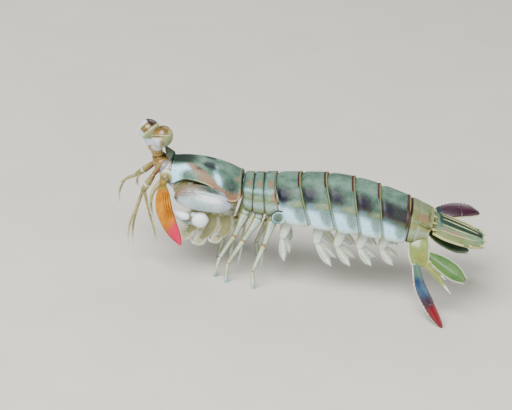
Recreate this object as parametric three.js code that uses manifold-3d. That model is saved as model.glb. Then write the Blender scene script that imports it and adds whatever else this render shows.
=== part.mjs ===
// A mantis shrimp of the smasher kind, life size, standing on its walking legs with its head raised.
// Millimetres, +Z up. The head looks along -X and the animal's left side faces -Y.
// Every shape is worked out from the named sizes below:
// the trunk from its seams, the limbs from their joints.
import * as THREE from 'three';
import { mergeVertices } from 'three/addons/utils/BufferGeometryUtils.js';
import Module from 'manifold-3d';

const wasm = await Module();
wasm.setup();

// Sizes that the whole animal shares
const clearance = 0.3; // between one piece and the next
const plateThickness = 0.55; // carapace, telson and tail fan
const bladeThickness = 0.5; // antennal scales and paddles
const feelerRadius = 0.26;
const facetTolerance = 0.02; // facets nearly in one plane are joined into one
const groundHeight = 0;
const groundDepth = 5; // how deep the ground block reaches that feet are cut flat on

// The trunk's seams from the neck to the tail: where each ring of shell meets the next.
// Along X and up Z of the seam's top, then of its lower hem, and the half width there.
const seams = [
  { name: 'neck', topX: -3.4, topZ: 23.7, hemX: -2.7, hemZ: 18.5, halfWidth: 5.8 },
  { name: 'thorax_6', topX: -1.3, topZ: 23.9, hemX: -0.7, hemZ: 18.1, halfWidth: 6.1 },
  { name: 'thorax_7', topX: 0.8, topZ: 24.2, hemX: 2.1, hemZ: 18.0, halfWidth: 6.4 },
  { name: 'thorax_8', topX: 3.4, topZ: 24.6, hemX: 5.3, hemZ: 18.3, halfWidth: 6.7 },
  { name: 'abdomen_1', topX: 8.7, topZ: 25.5, hemX: 12.1, hemZ: 17.0, halfWidth: 7.0 },
  { name: 'abdomen_2', topX: 14.4, topZ: 26.3, hemX: 17.8, hemZ: 16.9, halfWidth: 7.1 },
  { name: 'abdomen_3', topX: 20.5, topZ: 26.2, hemX: 23.1, hemZ: 16.9, halfWidth: 7.1 },
  { name: 'abdomen_4', topX: 26.3, topZ: 25.2, hemX: 28.1, hemZ: 16.7, halfWidth: 7.0 },
  { name: 'abdomen_5', topX: 33.3, topZ: 23.3, hemX: 32.9, hemZ: 16.2, halfWidth: 6.8 },
  { name: 'abdomen_6', topX: 38.7, topZ: 21.1, hemX: 37.2, hemZ: 16.9, halfWidth: 6.0 },
];
const frontInset = 0.93; // a ring's front is this share of its rear, so each seam shows a step
const domeRoundness = 0.84; // exponent of the trunk's arch: 1 is an ellipse, less is squarer
const domeSteps = 14;
const ringSteps = 4;
const seamGap = 0.34; // along the back, so that the slanting seams keep their clearance

// The carapace from front to rear, in even steps of X
const carapace = {
  frontX: -19.3,
  rearX: -3.75,
  topZ: [25.8, 26.1, 26.1, 25.7, 24.9, 23.8],
  halfWidth: [3.9, 5.2, 6.0, 6.5, 6.8, 6.6],
  hemZ: [20.6, 22.6, 22.8, 22.1, 19.9, 19.8],
  baseZ: 18.4,
  rearLean: 0.55, // how far back the rear margin's lower corner stands behind its top
};

// Joints of the left limbs. The right limbs are their mirror, apart from those with points of their own.
const eye = { radius: 2.3, length: 2.55 };
const telson = { frontX: 39.3, rearX: 50.2, frontZ: 20.2, rearZ: 17.6, arch: 1.5 };
telson.halfWidth = [5.1, 5.9, 6.0, 5.7, 5.0, 3.4];

const point = (x, y, z) => new THREE.Vector3(x, y, z);
const mirrored = (points) => points.map((p) => point(p.x, -p.y, p.z));

// The value at share u of a row of even stations, on a smooth curve through them
function along(values, u) {
  const stations = values.map((value, i) => new THREE.Vector2(i, value));
  return new THREE.SplineCurve(stations).getPoint(u).y;
}

function geometryFrom(points, faces) {
  const geometry = new THREE.BufferGeometry();
  const numbers = points.flatMap((p) => [p.x, p.y, p.z]);
  geometry.setAttribute('position', new THREE.Float32BufferAttribute(numbers, 3));
  const volume = faces.reduce((sum, [a, b, c]) => {
    return sum + points[a].dot(points[b].clone().cross(points[c]));
  }, 0);
  geometry.setIndex(faces.flatMap(([a, b, c]) => (volume < 0 ? [a, c, b] : [a, b, c])));
  return geometry;
}

// A closed skin over rings of equal numbers of points, with a flat end on each
function loft(rings) {
  const count = rings[0].length;
  const points = rings.flat();
  const faces = [];
  for (let i = 0; i + 1 < rings.length; i++) {
    for (let j = 0; j < count; j++) {
      const a = i * count + j;
      const b = i * count + ((j + 1) % count);
      faces.push([a, b, b + count], [a, b + count, a + count]);
    }
  }
  const close = (ring, start, turned) => {
    const centre = ring.reduce((sum, p) => sum.add(p), point(0, 0, 0)).divideScalar(count);
    const hub = points.push(centre) - 1;
    for (let j = 0; j < count; j++) {
      const a = start + j;
      const b = start + ((j + 1) % count);
      faces.push(turned ? [b, a, hub] : [a, b, hub]);
    }
  };
  close(rings[0], 0, true);
  close(rings.at(-1), (rings.length - 1) * count, false);
  return geometryFrom(points, faces);
}

// A plate between two grids of points that match one to one, split into the same triangles on both faces
function plate(upper, lower) {
  const rows = upper.length;
  const columns = upper[0].length;
  const points = [...upper.flat(), ...lower.flat()];
  const below = rows * columns;
  const faces = [];
  for (let i = 0; i + 1 < rows; i++) {
    for (let j = 0; j + 1 < columns; j++) {
      const a = i * columns + j;
      const b = a + 1;
      const c = a + columns;
      const d = c + 1;
      faces.push([a, b, d], [a, d, c]);
      faces.push([below + a, below + d, below + b], [below + a, below + c, below + d]);
    }
  }
  const rim = [];
  for (let j = 0; j < columns; j++) rim.push(j);
  for (let i = 1; i < rows; i++) rim.push(i * columns + columns - 1);
  for (let j = columns - 2; j >= 0; j--) rim.push((rows - 1) * columns + j);
  for (let i = rows - 2; i > 0; i--) rim.push(i * columns);
  rim.forEach((a, k) => {
    const b = rim[(k + 1) % rim.length];
    faces.push([a, below + a, below + b], [a, below + b, b]);
  });
  return geometryFrom(points, faces);
}

// A limb along a smooth curve through its joints. sizes holds half height and half width at even stations.
function limb(path, sizes, { rings = 7, sides = 8, across = point(0, 1, 0), grow = 0 } = {}) {
  const curve = new THREE.CatmullRomCurve3(path, false, 'centripetal');
  const made = [];
  for (let i = 0; i <= rings; i++) {
    const u = i / rings;
    const centre = curve.getPointAt(u);
    const tangent = curve.getTangentAt(u);
    const side = across.clone().addScaledVector(tangent, -across.dot(tangent)).normalize();
    const up = tangent.clone().cross(side);
    const halfUp = along(sizes.map((s) => s[0]), u) + grow;
    const halfSide = along(sizes.map((s) => s[1]), u) + grow;
    if (grow && i === 0) centre.addScaledVector(tangent, -grow);
    if (grow && i === rings) centre.addScaledVector(tangent, grow);
    made.push(Array.from({ length: sides }, (_, k) => {
      const angle = (2 * Math.PI * (k + 0.5)) / sides;
      return centre.clone().addScaledVector(up, halfUp * Math.cos(angle))
        .addScaledVector(side, halfSide * Math.sin(angle));
    }));
  }
  return loft(made);
}

// A flat leaf along a midline: halfWidths at even stations, cupped across by a share of its width
function leaf(midline, halfWidths, {
  face, thickness = bladeThickness, cup = 0.12, rows = 9, columns = 5,
}) {
  const curve = new THREE.CatmullRomCurve3(midline, false, 'centripetal');
  const upper = [];
  const lower = [];
  for (let i = 0; i < rows; i++) {
    const u = i / (rows - 1);
    const centre = curve.getPointAt(u);
    const tangent = curve.getTangentAt(u);
    const normal = face.clone().addScaledVector(tangent, -face.dot(tangent)).normalize();
    const side = tangent.clone().cross(normal);
    const halfWidth = along(halfWidths, u);
    const row = (offset) => Array.from({ length: columns }, (_, j) => {
      const v = (2 * j) / (columns - 1) - 1;
      const thin = offset * (1 - 0.45 * v * v);
      return centre.clone().addScaledVector(side, halfWidth * v)
        .addScaledVector(normal, thin - cup * halfWidth * v * v);
    });
    upper.push(row(thickness / 2));
    lower.push(row(-thickness / 2));
  }
  return plate(upper, lower);
}

function ellipsoid(centre, size, turn = [0, 0, 0], wide = 16, high = 10) {
  return new THREE.SphereGeometry(1, wide, high)
    .applyMatrix4(new THREE.Matrix4().compose(
      centre,
      new THREE.Quaternion().setFromEuler(new THREE.Euler(...turn)),
      size,
    ));
}

function solidOf(geometry) {
  const bare = geometry.clone();
  bare.deleteAttribute('normal');
  bare.deleteAttribute('uv');
  const merged = mergeVertices(bare, 1e-4);
  return new wasm.Manifold(new wasm.Mesh({
    numProp: 3,
    vertProperties: merged.attributes.position.array,
    triVerts: new Uint32Array(merged.index.array),
  }));
}

// The pieces joined and cut clear of what they grow from, then added to a core that is left whole.
// Only the largest closed body is kept.
function joined(pieces, clearOf = [], core = []) {
  const union = (geometries) => geometries.map(solidOf).reduce((sum, next) => sum.add(next));
  const cleared = clearOf.length ? union(pieces).subtract(union(clearOf)) : union(pieces);
  const whole = core.length ? union(core).add(cleared) : cleared;
  const largest = whole.decompose().sort((a, b) => b.volume() - a.volume())[0];
  const mesh = largest.simplify(facetTolerance).getMesh();
  const geometry = new THREE.BufferGeometry();
  geometry.setAttribute('position', new THREE.BufferAttribute(mesh.vertProperties, 3));
  geometry.setIndex(new THREE.BufferAttribute(mesh.triVerts, 1));
  return geometry;
}

const material = (color, roughness = 0.4) => new THREE.MeshStandardMaterial({
  color, roughness, metalness: 0,
});
const finishes = {
  shell: material('#84a595'),
  thorax: material('#8fb0a0'),
  skin: material('#b9b89a', 0.6),
  head: material('#c08a3c'),
  stalk: material('#dfe2e6'),
  cornea: material('#b59b62', 0.1),
  feeler: material('#d8cfa8'),
  scale: material('#dc8426', 0.45),
  claw: material('#e4e3e6', 0.3),
  paleLimb: material('#d9d8ba'),
  swimmeret: material('#d6dbcf'),
  telson: material('#8fa68a'),
  fanBase: material('#b9bd8c'),
  fanBlade: material('#8c4a5c'),
  fanPaddle: material('#6da864'),
};

const model = new THREE.Group();
function add(name, geometry, finish) {
  const mesh = new THREE.Mesh(geometry, finish);
  mesh.name = name;
  model.add(mesh);
}

const ground = () => new THREE.BoxGeometry(200, 100, groundDepth)
  .translate(0, 0, groundHeight - groundDepth / 2);

// Trunk

// One cross-section of the trunk: the arch from the left hem over the back, then the belly between the hems
function trunkRing({ topX, topZ, hemX, hemZ, halfWidth, grow = 0 }, swell = 1) {
  const height = (topZ - hemZ) * swell;
  const ring = [];
  for (let k = 0; k <= domeSteps; k++) {
    const angle = (Math.PI * k) / domeSteps;
    const rise = Math.sin(angle) ** domeRoundness;
    const reach = Math.sign(Math.cos(angle)) * Math.abs(Math.cos(angle)) ** domeRoundness;
    ring.push(point(hemX + (topX - hemX) * rise * swell, -halfWidth * swell * reach, hemZ + height * rise));
  }
  const belly = [[0.88, 0.7], [0.5, 0.5], [0, 0.3], [-0.5, 0.5], [-0.88, 0.7]];
  belly.forEach(([share, lift]) => {
    const y = (halfWidth - grow) * swell * share - 0.95 * grow * Math.sign(share);
    ring.push(point(hemX + ((topX - hemX) * lift) / (topZ - hemZ), y, hemZ + lift));
  });
  return ring;
}

function seamBetween(front, rear, u) {
  const mix = (key) => THREE.MathUtils.lerp(front[key], rear[key], u);
  return {
    topX: mix('topX'), topZ: mix('topZ'), hemX: mix('hemX'), hemZ: mix('hemZ'), halfWidth: mix('halfWidth'),
    grow: front.grow,
  };
}

function grownSeam(seam, grow) {
  return {
    ...seam,
    grow,
    topZ: seam.topZ + grow,
    hemZ: seam.hemZ - grow,
    halfWidth: seam.halfWidth + grow,
  };
}

function somite(index, grow = 0) {
  const front = grownSeam(seams[index], grow);
  const rear = grownSeam(seams[index + 1], grow);
  const length = rear.topX - front.topX;
  const rings = [];
  for (let i = 0; i <= ringSteps; i++) {
    const firstU = (seamGap - grow * 1.2) / length;
    const lastU = 1 + (grow * 1.2) / length;
    const u = THREE.MathUtils.lerp(firstU, lastU, i / ringSteps);
    const opened = Math.sin(Math.min(1, 1.6 * u) * Math.PI / 2);
    const swell = grow ? 1 : THREE.MathUtils.lerp(frontInset, 1, opened);
    rings.push(trunkRing(seamBetween(front, rear, u), swell));
  }
  return loft(rings);
}

seams.slice(1, 4).forEach((seam, i) => add(seam.name, somite(i), finishes.thorax));
seams.slice(5, 9).forEach((seam, i) => add(seam.name, somite(i + 4), finishes.shell));

// The first abdominal ring carries a round lobe at each front corner
const lobeSize = point(1.75, 0.45, 1.7);
const lobes = [-1, 1].map((side) => (
  ellipsoid(point(5.15, side * 6.9, 18.0), lobeSize, [0, 0, -side * 0.12], 12, 8)
));
add('abdomen_1', joined(lobes, [somite(2, clearance)], [somite(3)]), finishes.shell);

// The sixth has six short ridges that end in spines over the tail plate
const spineRows = [1.5, 3.6, 5.3];
const ridges = spineRows.flatMap((y) => [-y, y]).map((y) => {
  const drop = 0.055 * y * y;
  return limb(
    [point(35.2, y, 22.1 - drop), point(37.6, y * 0.97, 21.2 - drop), point(39.5, y * 0.95, 20.7 - drop)],
    [[0.3, 0.3], [0.42, 0.4], [0.08, 0.08]],
    { rings: 2, sides: 5 },
  );
});
add('abdomen_6', joined([somite(8), ...ridges], []), finishes.shell);

// Tail plate

const telsonRows = 9;
const telsonColumns = 9;
function telsonGrid(depth) {
  return Array.from({ length: telsonRows }, (_, i) => {
    const u = i / (telsonRows - 1);
    const halfWidth = along(telson.halfWidth, u);
    return Array.from({ length: telsonColumns }, (_, j) => {
      const v = (2 * j) / (telsonColumns - 1) - 1;
      const crown = telson.arch * (1 - Math.abs(v) ** 1.7) * (1 - 0.45 * u);
      return point(
        THREE.MathUtils.lerp(telson.frontX, telson.rearX, u) - 0.7 * v * v * (1 - u),
        halfWidth * v,
        THREE.MathUtils.lerp(telson.frontZ, telson.rearZ, u) - telson.arch
          + crown - depth * (1 - 0.4 * v * v),
      );
    });
  });
}
const telsonTop = (u, v) => {
  const crown = telson.arch * (1 - Math.abs(v) ** 1.7) * (1 - 0.45 * u);
  return point(
    THREE.MathUtils.lerp(telson.frontX, telson.rearX, u) - 0.7 * v * v * (1 - u),
    along(telson.halfWidth, u) * v,
    THREE.MathUtils.lerp(telson.frontZ, telson.rearZ, u) - telson.arch + crown,
  );
};
const telsonDepth = 1.3;
const keels = [0, -0.38, 0.38, -0.72, 0.72].map((v) => {
  const path = [0.14, 0.45, 0.72, 0.9].map((u) => telsonTop(u, v * (1 - 0.12 * u)));
  return limb(path, [[0.28, 0.35], [0.45, 0.42], [0.42, 0.38], [0.12, 0.12]], { rings: 4, sides: 5 });
});
const teeth = [[0.97, 0.34, 2.3], [0.93, 0.78, 2.0], [0.72, 0.97, 1.6]].flatMap(([u, v, reach]) => {
  return [-v, v].map((side) => {
    const root = telsonTop(u - 0.12, side * 0.9);
    root.z -= 0.5;
    const tip = root.clone().add(point(reach + 0.6, 0.18 * Math.sign(side), -0.35));
    return limb([root, root.clone().lerp(tip, 0.5), tip], [[0.4, 0.75], [0.32, 0.55], [0.06, 0.06]], {
      rings: 2, sides: 5,
    });
  });
});
add('telson', joined([plate(telsonGrid(0), telsonGrid(telsonDepth)), ...keels, ...teeth]), finishes.telson);

// Front of the body

function carapaceGrid(depth, spread = 0) {
  const rows = 10;
  const columns = 17;
  return Array.from({ length: rows }, (_, i) => {
    const u = i / (rows - 1);
    const height = along(carapace.topZ, u) - carapace.baseZ;
    const halfWidth = along(carapace.halfWidth, u);
    const hem = Math.asin(((along(carapace.hemZ, u) - carapace.baseZ) / height) ** (1 / domeRoundness));
    return Array.from({ length: columns }, (_, j) => {
      const reachDown = (1.6 * spread) / halfWidth;
      const angle = THREE.MathUtils.lerp(hem - reachDown, Math.PI - hem + reachDown, j / (columns - 1));
      const reach = Math.sign(Math.cos(angle)) * Math.abs(Math.cos(angle)) ** domeRoundness;
      const lean = carapace.rearLean * u ** 4 * (1 - Math.sin(angle) ** 2);
      return point(
        THREE.MathUtils.lerp(carapace.frontX - spread, carapace.rearX + spread, u) + lean,
        -(halfWidth - depth) * reach,
        carapace.baseZ + (height - depth) * Math.sin(angle) ** domeRoundness,
      );
    });
  });
}
add('carapace', plate(carapaceGrid(0), carapaceGrid(plateThickness)), finishes.shell);

const carapaceBlock = () => {
  return plate(carapaceGrid(-clearance, clearance), carapaceGrid(plateThickness + clearance, clearance));
};

const chestPath = [point(-18.7, 0, 22.6), point(-15, 0, 20.4), point(-10, 0, 19.4), point(-3.8, 0, 18.9)];
const chestSizes = [[2.1, 2.3], [4.0, 3.7], [4.8, 3.9], [4.9, 4.0], [4.5, 4.1], [3.9, 4.3]];
const chest = (grow = 0) => limb(chestPath, chestSizes, { rings: 9, sides: 16, grow });
add('thorax', chest(), finishes.skin);

const headPath = [
  point(-19.1, 0, 22.7), point(-20.8, 0, 23.4),
  point(-22.2, 0, 25.0), point(-22.9, 0, 26.6),
];
const headSizes = [[1.9, 2.4], [2.3, 2.6], [1.7, 2.0], [0.8, 1.2]];
const head = (grow = 0) => limb(headPath, headSizes, { rings: 7, sides: 12, grow });
add('head', joined([head()], [chest(clearance), carapaceBlock()]), finishes.head);

const rostrumPath = [point(-19.1, 0, 26.3), point(-20.3, 0, 27.2), point(-21.1, 0, 27.9)];
const rostrum = leaf(rostrumPath, [2.3, 2.0, 0.5], {
  face: point(0, 0, 1), rows: 6, columns: 7, cup: 0.3,
});
add('rostral_plate', joined([rostrum], [carapaceBlock(), head(clearance)]), finishes.shell);

// Eyes, each turned its own way on its stalk
const eyes = {
  left: { centre: point(-21.9, -2.6, 31.2), root: point(-22.7, -0.9, 26.3), turn: [0.35, 0.5, 0.25] },
  right: { centre: point(-25.1, 2.6, 29.9), root: point(-23.1, 1.0, 26.1), turn: [-0.35, -0.9, -0.2] },
};
for (const [side, { centre, root, turn }] of Object.entries(eyes)) {
  const globe = (grow) => {
    return ellipsoid(centre, point(eye.radius + grow, eye.radius + grow, eye.length + grow), turn, 18, 12);
  };
  const heel = root.clone().lerp(centre, 0.45).add(point(-0.5, 0, 0));
  const stalkPath = [root, heel, centre.clone().lerp(root, 0.12)];
  const stalk = limb(stalkPath, [[1.1, 1.05], [1.2, 1.2], [1.75, 1.65]], {
    rings: 5, sides: 10,
  });
  add('eyestalk_' + side, joined([stalk], [globe(clearance), head(clearance)]), finishes.stalk);
  add('eye_' + side, globe(0), finishes.cornea);
}

// Feelers of the head

const feelerSizes = [[0.36, 0.36], [feelerRadius, feelerRadius], [0.24, 0.24], [0.14, 0.14]];
const feeler = (path) => limb(path, feelerSizes, {
  rings: 6, sides: 5,
});
const stem = (path, sizes) => limb(path, sizes, { rings: 6, sides: 8 });

const antennules = {
  left: {
    stem: [
      point(-21.6, -1.6, 24.2), point(-23.1, -2.7, 21.4),
      point(-24.3, -3.1, 18.9), point(-24.9, -3.2, 17.4),
    ],
    threads: [
      [
        point(-24.8, -3.5, 17.8), point(-25.7, -4.0, 14.4),
        point(-26.8, -4.3, 9.2), point(-26.6, -4.4, 4.6),
      ],
      [
        point(-24.8, -3.0, 17.8), point(-25.4, -2.7, 14.4),
        point(-26.1, -2.4, 9.0), point(-25.8, -2.2, 3.4),
      ],
      [
        point(-24.4, -3.3, 18.0), point(-22.9, -3.7, 13.4),
        point(-21.2, -3.9, 8.8), point(-19.8, -4.1, 4.4),
      ],
    ],
  },
  right: {
    stem: [
      point(-21.8, 1.6, 24.0), point(-23.8, 2.4, 21.7),
      point(-25.6, 2.7, 20.0), point(-27.2, 2.9, 18.4),
    ],
    threads: [
      [point(-26.6, 2.8, 18.8), point(-28.2, 2.7, 17.8), point(-29.6, 2.6, 17.0), point(-31.0, 2.5, 16.1)],
      [point(-27.0, 3.0, 18.5), point(-29.2, 3.4, 16.9), point(-30.3, 3.6, 13.8), point(-30.2, 3.8, 10.7)],
      [point(-25.6, 2.7, 19.8), point(-26.6, 2.2, 18.2), point(-26.4, 1.9, 16.9), point(-25.7, 1.7, 16.0)],
    ],
  },
};
for (const [side, { stem: path, threads }] of Object.entries(antennules)) {
  const base = stem(path, [[0.8, 0.85], [0.72, 0.8], [0.95, 0.95], [0.6, 0.6]]);
  add('antennule_' + side, joined([base, ...threads.map(feeler)], [head(clearance)]), finishes.feeler);
}

// The antenna's stout base stands out from the side of the head. It carries a feeler and the broad scale.
const antennaBase = [point(-19.8, -1.9, 22.4), point(-20.1, -3.7, 22.3), point(-20.3, -5.3, 21.8)];
const antennaBaseSizes = [[1.4, 1.4], [1.35, 1.3], [1.15, 1.05]];
const antennaBlock = (flip, grow = 0) => {
  return limb(flip(antennaBase), antennaBaseSizes, { rings: 4, sides: 8, across: point(1, 0, 0), grow });
};
const antennaThreads = {
  left: [
    point(-20.6, -4.6, 21.6), point(-22.2, -5.2, 19.6),
    point(-22.6, -5.3, 16.6), point(-21.4, -5.3, 11.9),
  ],
  right: [
    point(-20.6, 4.6, 21.6), point(-23.2, 5.6, 21.0),
    point(-26.0, 6.4, 18.4), point(-27.4, 6.9, 14.2),
  ],
};
const scales = {
  left: { midline: [point(-20.4, -6.1, 21.9), point(-19.7, -7.6, 16.8), point(-17.6, -8.1, 12.4),
    point(-14.9, -8.3, 8.7)], face: point(-0.35, -1, 0.1) },
  right: { midline: [point(-20.1, 6.1, 21.8), point(-17.6, 8.3, 18.4), point(-14.4, 9.1, 15.0),
    point(-10.2, 9.6, 11.4)], face: point(-0.2, 1, 0.3) },
};
const scaleWidths = [0.7, 1.65, 2.0, 2.05, 1.85, 1.4, 0.45];
for (const side of ['left', 'right']) {
  const flip = side === 'left' ? (points) => points : mirrored;
  const thread = limb(antennaThreads[side], [[0.75, 0.75], [0.42, 0.42], [0.26, 0.26], [0.14, 0.14]], {
    rings: 7, sides: 5,
  });
  const neighbours = [head(clearance), chest(clearance), carapaceBlock()];
  add('antenna_' + side, joined([antennaBlock(flip), thread], neighbours), finishes.feeler);
  const blade = leaf(scales[side].midline, scaleWidths, { face: scales[side].face, rows: 10, cup: 0.15 });
  const foot = ellipsoid(scales[side].midline[0], point(0.8, 0.6, 0.8), [0, 0, 0], 6, 4);
  add('antennal_scale_' + side, joined([blade, foot], [antennaBlock(flip, clearance)]), finishes.scale);
}

// Limbs of the chest

// The smashing claw, folded: merus under the carapace, wrist at the front, club at the rear of the hand
const claw = {
  merus: [
    point(-17.7, -6.0, 18.9), point(-14.5, -6.3, 19.7),
    point(-10.5, -6.3, 19.6), point(-5.2, -5.7, 18.4),
  ],
  merusSizes: [[0.9, 0.7], [2.25, 1.45], [2.6, 1.65], [2.6, 1.7], [2.4, 1.6], [2.1, 1.4], [1.0, 0.7]],
  wrist: [point(-18.3, -5.9, 17.6), point(-19.0, -5.9, 16.8), point(-18.6, -6.0, 15.6)],
  wristSizes: [[0.7, 0.8], [1.15, 1.1], [0.8, 0.85]],
  hand: [point(-17.6, -6.1, 15.2), point(-15.8, -6.2, 14.8), point(-13.9, -6.2, 14.8)],
  handSizes: [[0.75, 0.75], [1.0, 0.9], [0.95, 0.85], [0.7, 0.7]],
  club: [point(-13.3, -6.2, 14.9), point(-11.6, -6.2, 14.5), point(-9.7, -6.1, 14.5)],
  clubSizes: [[0.9, 0.8], [1.7, 1.35], [1.85, 1.45], [1.4, 1.1], [0.4, 0.4]],
  spike: [
    point(-11.8, -5.6, 13.2), point(-13.6, -5.0, 12.9),
    point(-15.6, -4.9, 13.2), point(-17.4, -5.0, 13.6),
  ],
  spikeSizes: [[0.7, 0.6], [0.5, 0.42], [0.35, 0.3], [0.08, 0.08]],
};
const clawDetail = {
  merus: { rings: 9, sides: 12 },
  spike: { rings: 4, sides: 6 },
};
const clawPiece = (part, flip, grow = 0) => {
  const detail = clawDetail[part] || { rings: 6, sides: 10 };
  return limb(flip(claw[part]), claw[part + 'Sizes'], { ...detail, grow });
};
const clawHip = (flip, grow = 0) => {
  return limb(flip([point(-6.9, -4.9, 17.4), point(-6.2, -3.8, 16.4), point(-5.6, -2.8, 16.0)]),
    [[1.0, 1.0], [1.1, 1.1], [1.1, 1.1]], { rings: 4, across: point(1, 0, 0), grow });
};
for (const side of ['left', 'right']) {
  const flip = side === 'left' ? (points) => points : mirrored;
  const sign = side === 'left' ? -1 : 1;
  const upper = [clawPiece('merus', flip), clawHip(flip)];
  add('claw_merus_' + side, joined(upper, [chest(clearance), carapaceBlock()]), finishes.claw);
  const wrist = joined([clawPiece('wrist', flip)], [clawPiece('merus', flip, clearance)]);
  add('claw_wrist_' + side, wrist, finishes.claw);
  add('claw_hand_' + side, joined([clawPiece('hand', flip)],
    [clawPiece('wrist', flip, clearance), clawPiece('merus', flip, clearance)]), finishes.claw);
  const heel = ellipsoid(point(-12.9, sign * 6.2, 15.4), point(0.8, 0.7, 0.7), [0, 0, 0], 8, 6);
  add('claw_club_' + side, joined([clawPiece('club', flip), clawPiece('spike', flip), heel],
    [clawPiece('hand', flip, clearance), clawPiece('merus', flip, clearance)]), finishes.claw);
}

// Three pairs of small jaw feet, each with a round flat hand
const jawFeet = [
  { name: 'maxilliped_3',
    root: point(-12.4, -2.4, 15.8), knee: point(-12.6, -3.4, 12.2), hand: point(-14.2, -3.5, 9.4),
    size: [1.45, 1.95] },
  { name: 'maxilliped_4',
    root: point(-9.5, -2.3, 15.4), knee: point(-9.2, -3.2, 11.6), hand: point(-11.1, -3.3, 8.2),
    size: [1.3, 1.75] },
  { name: 'maxilliped_5',
    root: point(-6.8, -2.2, 15.4), knee: point(-5.9, -3.0, 11.8), hand: point(-7.5, -3.2, 9.0),
    size: [1.1, 1.5] },
];
for (const { name, root, knee, hand, size } of jawFeet) {
  for (const side of ['left', 'right']) {
    const flip = side === 'left' ? (points) => points : mirrored;
    const [top, bend, end] = flip([root, knee, hand]);
    const armSizes = [[1.15, 0.7], [1.2, 0.55], [0.6, 0.42], [0.4, 0.3]];
    const arm = limb([top, bend, end], armSizes, { rings: 4, sides: 6 });
    const disc = ellipsoid(end, point(size[0], 0.4, size[1]), [0, 0.45, 0], 10, 5);
    const tip = end.clone().add(point(-size[0] * 0.5, 0, -size[1] * 0.75));
    const hook = limb([tip, tip.clone().add(point(-0.9, 0, 0.3)), tip.clone().add(point(-1.5, 0, 1.1))],
      [[0.3, 0.3], [0.26, 0.26], [0.06, 0.06]], { rings: 2, sides: 5 });
    const clear = [chest(clearance), clawPiece('spike', flip, clearance), clawHip(flip, clearance)];
    add(name + '_' + side, joined([arm, disc, hook], clear), finishes.paleLimb);
  }
}

// Walking legs: a stout upper limb to the knee, then a foot branch and a slender side branch
const legs = [
  { ring: 0, root: point(-1.7, -4.2, 19.2), hip: point(-2.2, -4.6, 16.4), knee: point(-3.7, -4.6, 10.9),
    shin: point(-6.3, -4.4, 5.0), foot: point(-7.0, -4.4, -0.3), side: point(-4.1, -3.5, 4.6) },
  { ring: 1, root: point(0.9, -4.4, 19.0), hip: point(0.8, -5.0, 16.2), knee: point(-1.7, -5.4, 10.4),
    shin: point(-4.4, -5.9, 4.6), foot: point(-4.3, -6.3, -0.3), side: point(-2.2, -4.6, 4.0) },
  { ring: 2, root: point(4.0, -4.8, 18.9), hip: point(3.9, -5.4, 15.8), knee: point(2.9, -6.2, 10.4),
    shin: point(1.2, -6.9, 4.0), foot: point(1.9, -7.4, -0.3), side: point(2.7, -5.6, 3.4) },
];
legs.forEach(({ ring, root, hip, knee, shin, foot, side: branch }, i) => {
  for (const side of ['left', 'right']) {
    const flip = side === 'left' ? (points) => points : mirrored;
    const [a, b, c, d, e, f] = flip([root, hip, knee, shin, foot, branch]);
    const upperSizes = [[0.95, 0.9], [1.05, 0.9], [0.72, 0.62], [0.55, 0.5]];
    const upper = limb([a, b, c], upperSizes, { rings: 5, sides: 6 });
    const lower = limb([c, d], [[0.62, 0.55], [0.5, 0.44], [0.42, 0.38]], { rings: 2, sides: 6 });
    const toe = limb([d, e], [[0.44, 0.4], [0.46, 0.4], [0.34, 0.3]], { rings: 2, sides: 6 });
    const twig = limb([c.clone().lerp(d, 0.06), c.clone().lerp(f, 0.5), f],
      [[0.32, 0.3], [0.28, 0.28], [0.26, 0.26], [0.1, 0.1]], { rings: 3, sides: 5 });
    const body = [0, 1, 2, 3].filter((n) => Math.abs(n - ring) < 2).map((n) => somite(n, clearance));
    const name = 'leg_' + (i + 1) + '_' + side;
    add(name, joined([upper, lower, toe, twig], [...body, ground()]), finishes.paleLimb);
  }
});

// Swimmerets: a stout stem under each ring, then an outer and an inner paddle
const swimmerets = [
  { ring: 3, root: point(7.6, -3.9, 18.2), knee: point(6.6, -4.4, 11.6), tip: point(7.8, -4.8, 6.4) },
  { ring: 4, root: point(14.2, -4.0, 18.0), knee: point(14.2, -4.6, 11.6), tip: point(18.2, -5.0, 6.9) },
  { ring: 5, root: point(19.6, -4.0, 18.0), knee: point(18.6, -4.6, 11.6), tip: point(22.2, -5.0, 7.6) },
  { ring: 6, root: point(24.6, -4.0, 17.8), knee: point(23.4, -4.6, 11.9), tip: point(26.8, -5.0, 8.4) },
  { ring: 7, root: point(29.4, -3.9, 17.6), knee: point(28.2, -4.4, 12.4), tip: point(31.4, -4.8, 9.2) },
];
swimmerets.forEach(({ ring, root, knee, tip }, i) => {
  for (const side of ['left', 'right']) {
    const flip = side === 'left' ? (points) => points : mirrored;
    const sign = side === 'left' ? -1 : 1;
    const [a, b, c] = flip([root, knee, tip]);
    const stemPath = [a, a.clone().lerp(b, 0.5), b];
    const stemPiece = limb(stemPath, [[1.25, 0.6], [1.2, 0.6], [0.8, 0.5]], { rings: 3, sides: 6 });
    const start = a.clone().lerp(b, 0.92);
    const outer = leaf([start, b.clone().lerp(c, 0.5), c], [0.55, 0.95, 1.0, 0.3], {
      face: point(0.35, sign, 0.2), rows: 5, columns: 3,
    });
    const innerTip = c.clone().add(point(0.9, -sign * 2.0, 1.2));
    const innerMiddle = b.clone().lerp(innerTip, 0.5).add(point(0.5, 0, 0));
    const inner = leaf([start, innerMiddle, innerTip], [0.55, 0.95, 1.0, 0.3], {
      face: point(0.35, sign, 0.2), rows: 5, columns: 3,
    });
    const body = [ring - 1, ring, ring + 1].filter((n) => n < 9).map((n) => somite(n, clearance));
    add('swimmeret_' + (i + 1) + '_' + side, joined([stemPiece, outer, inner], body), finishes.swimmeret);
  }
});

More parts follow.
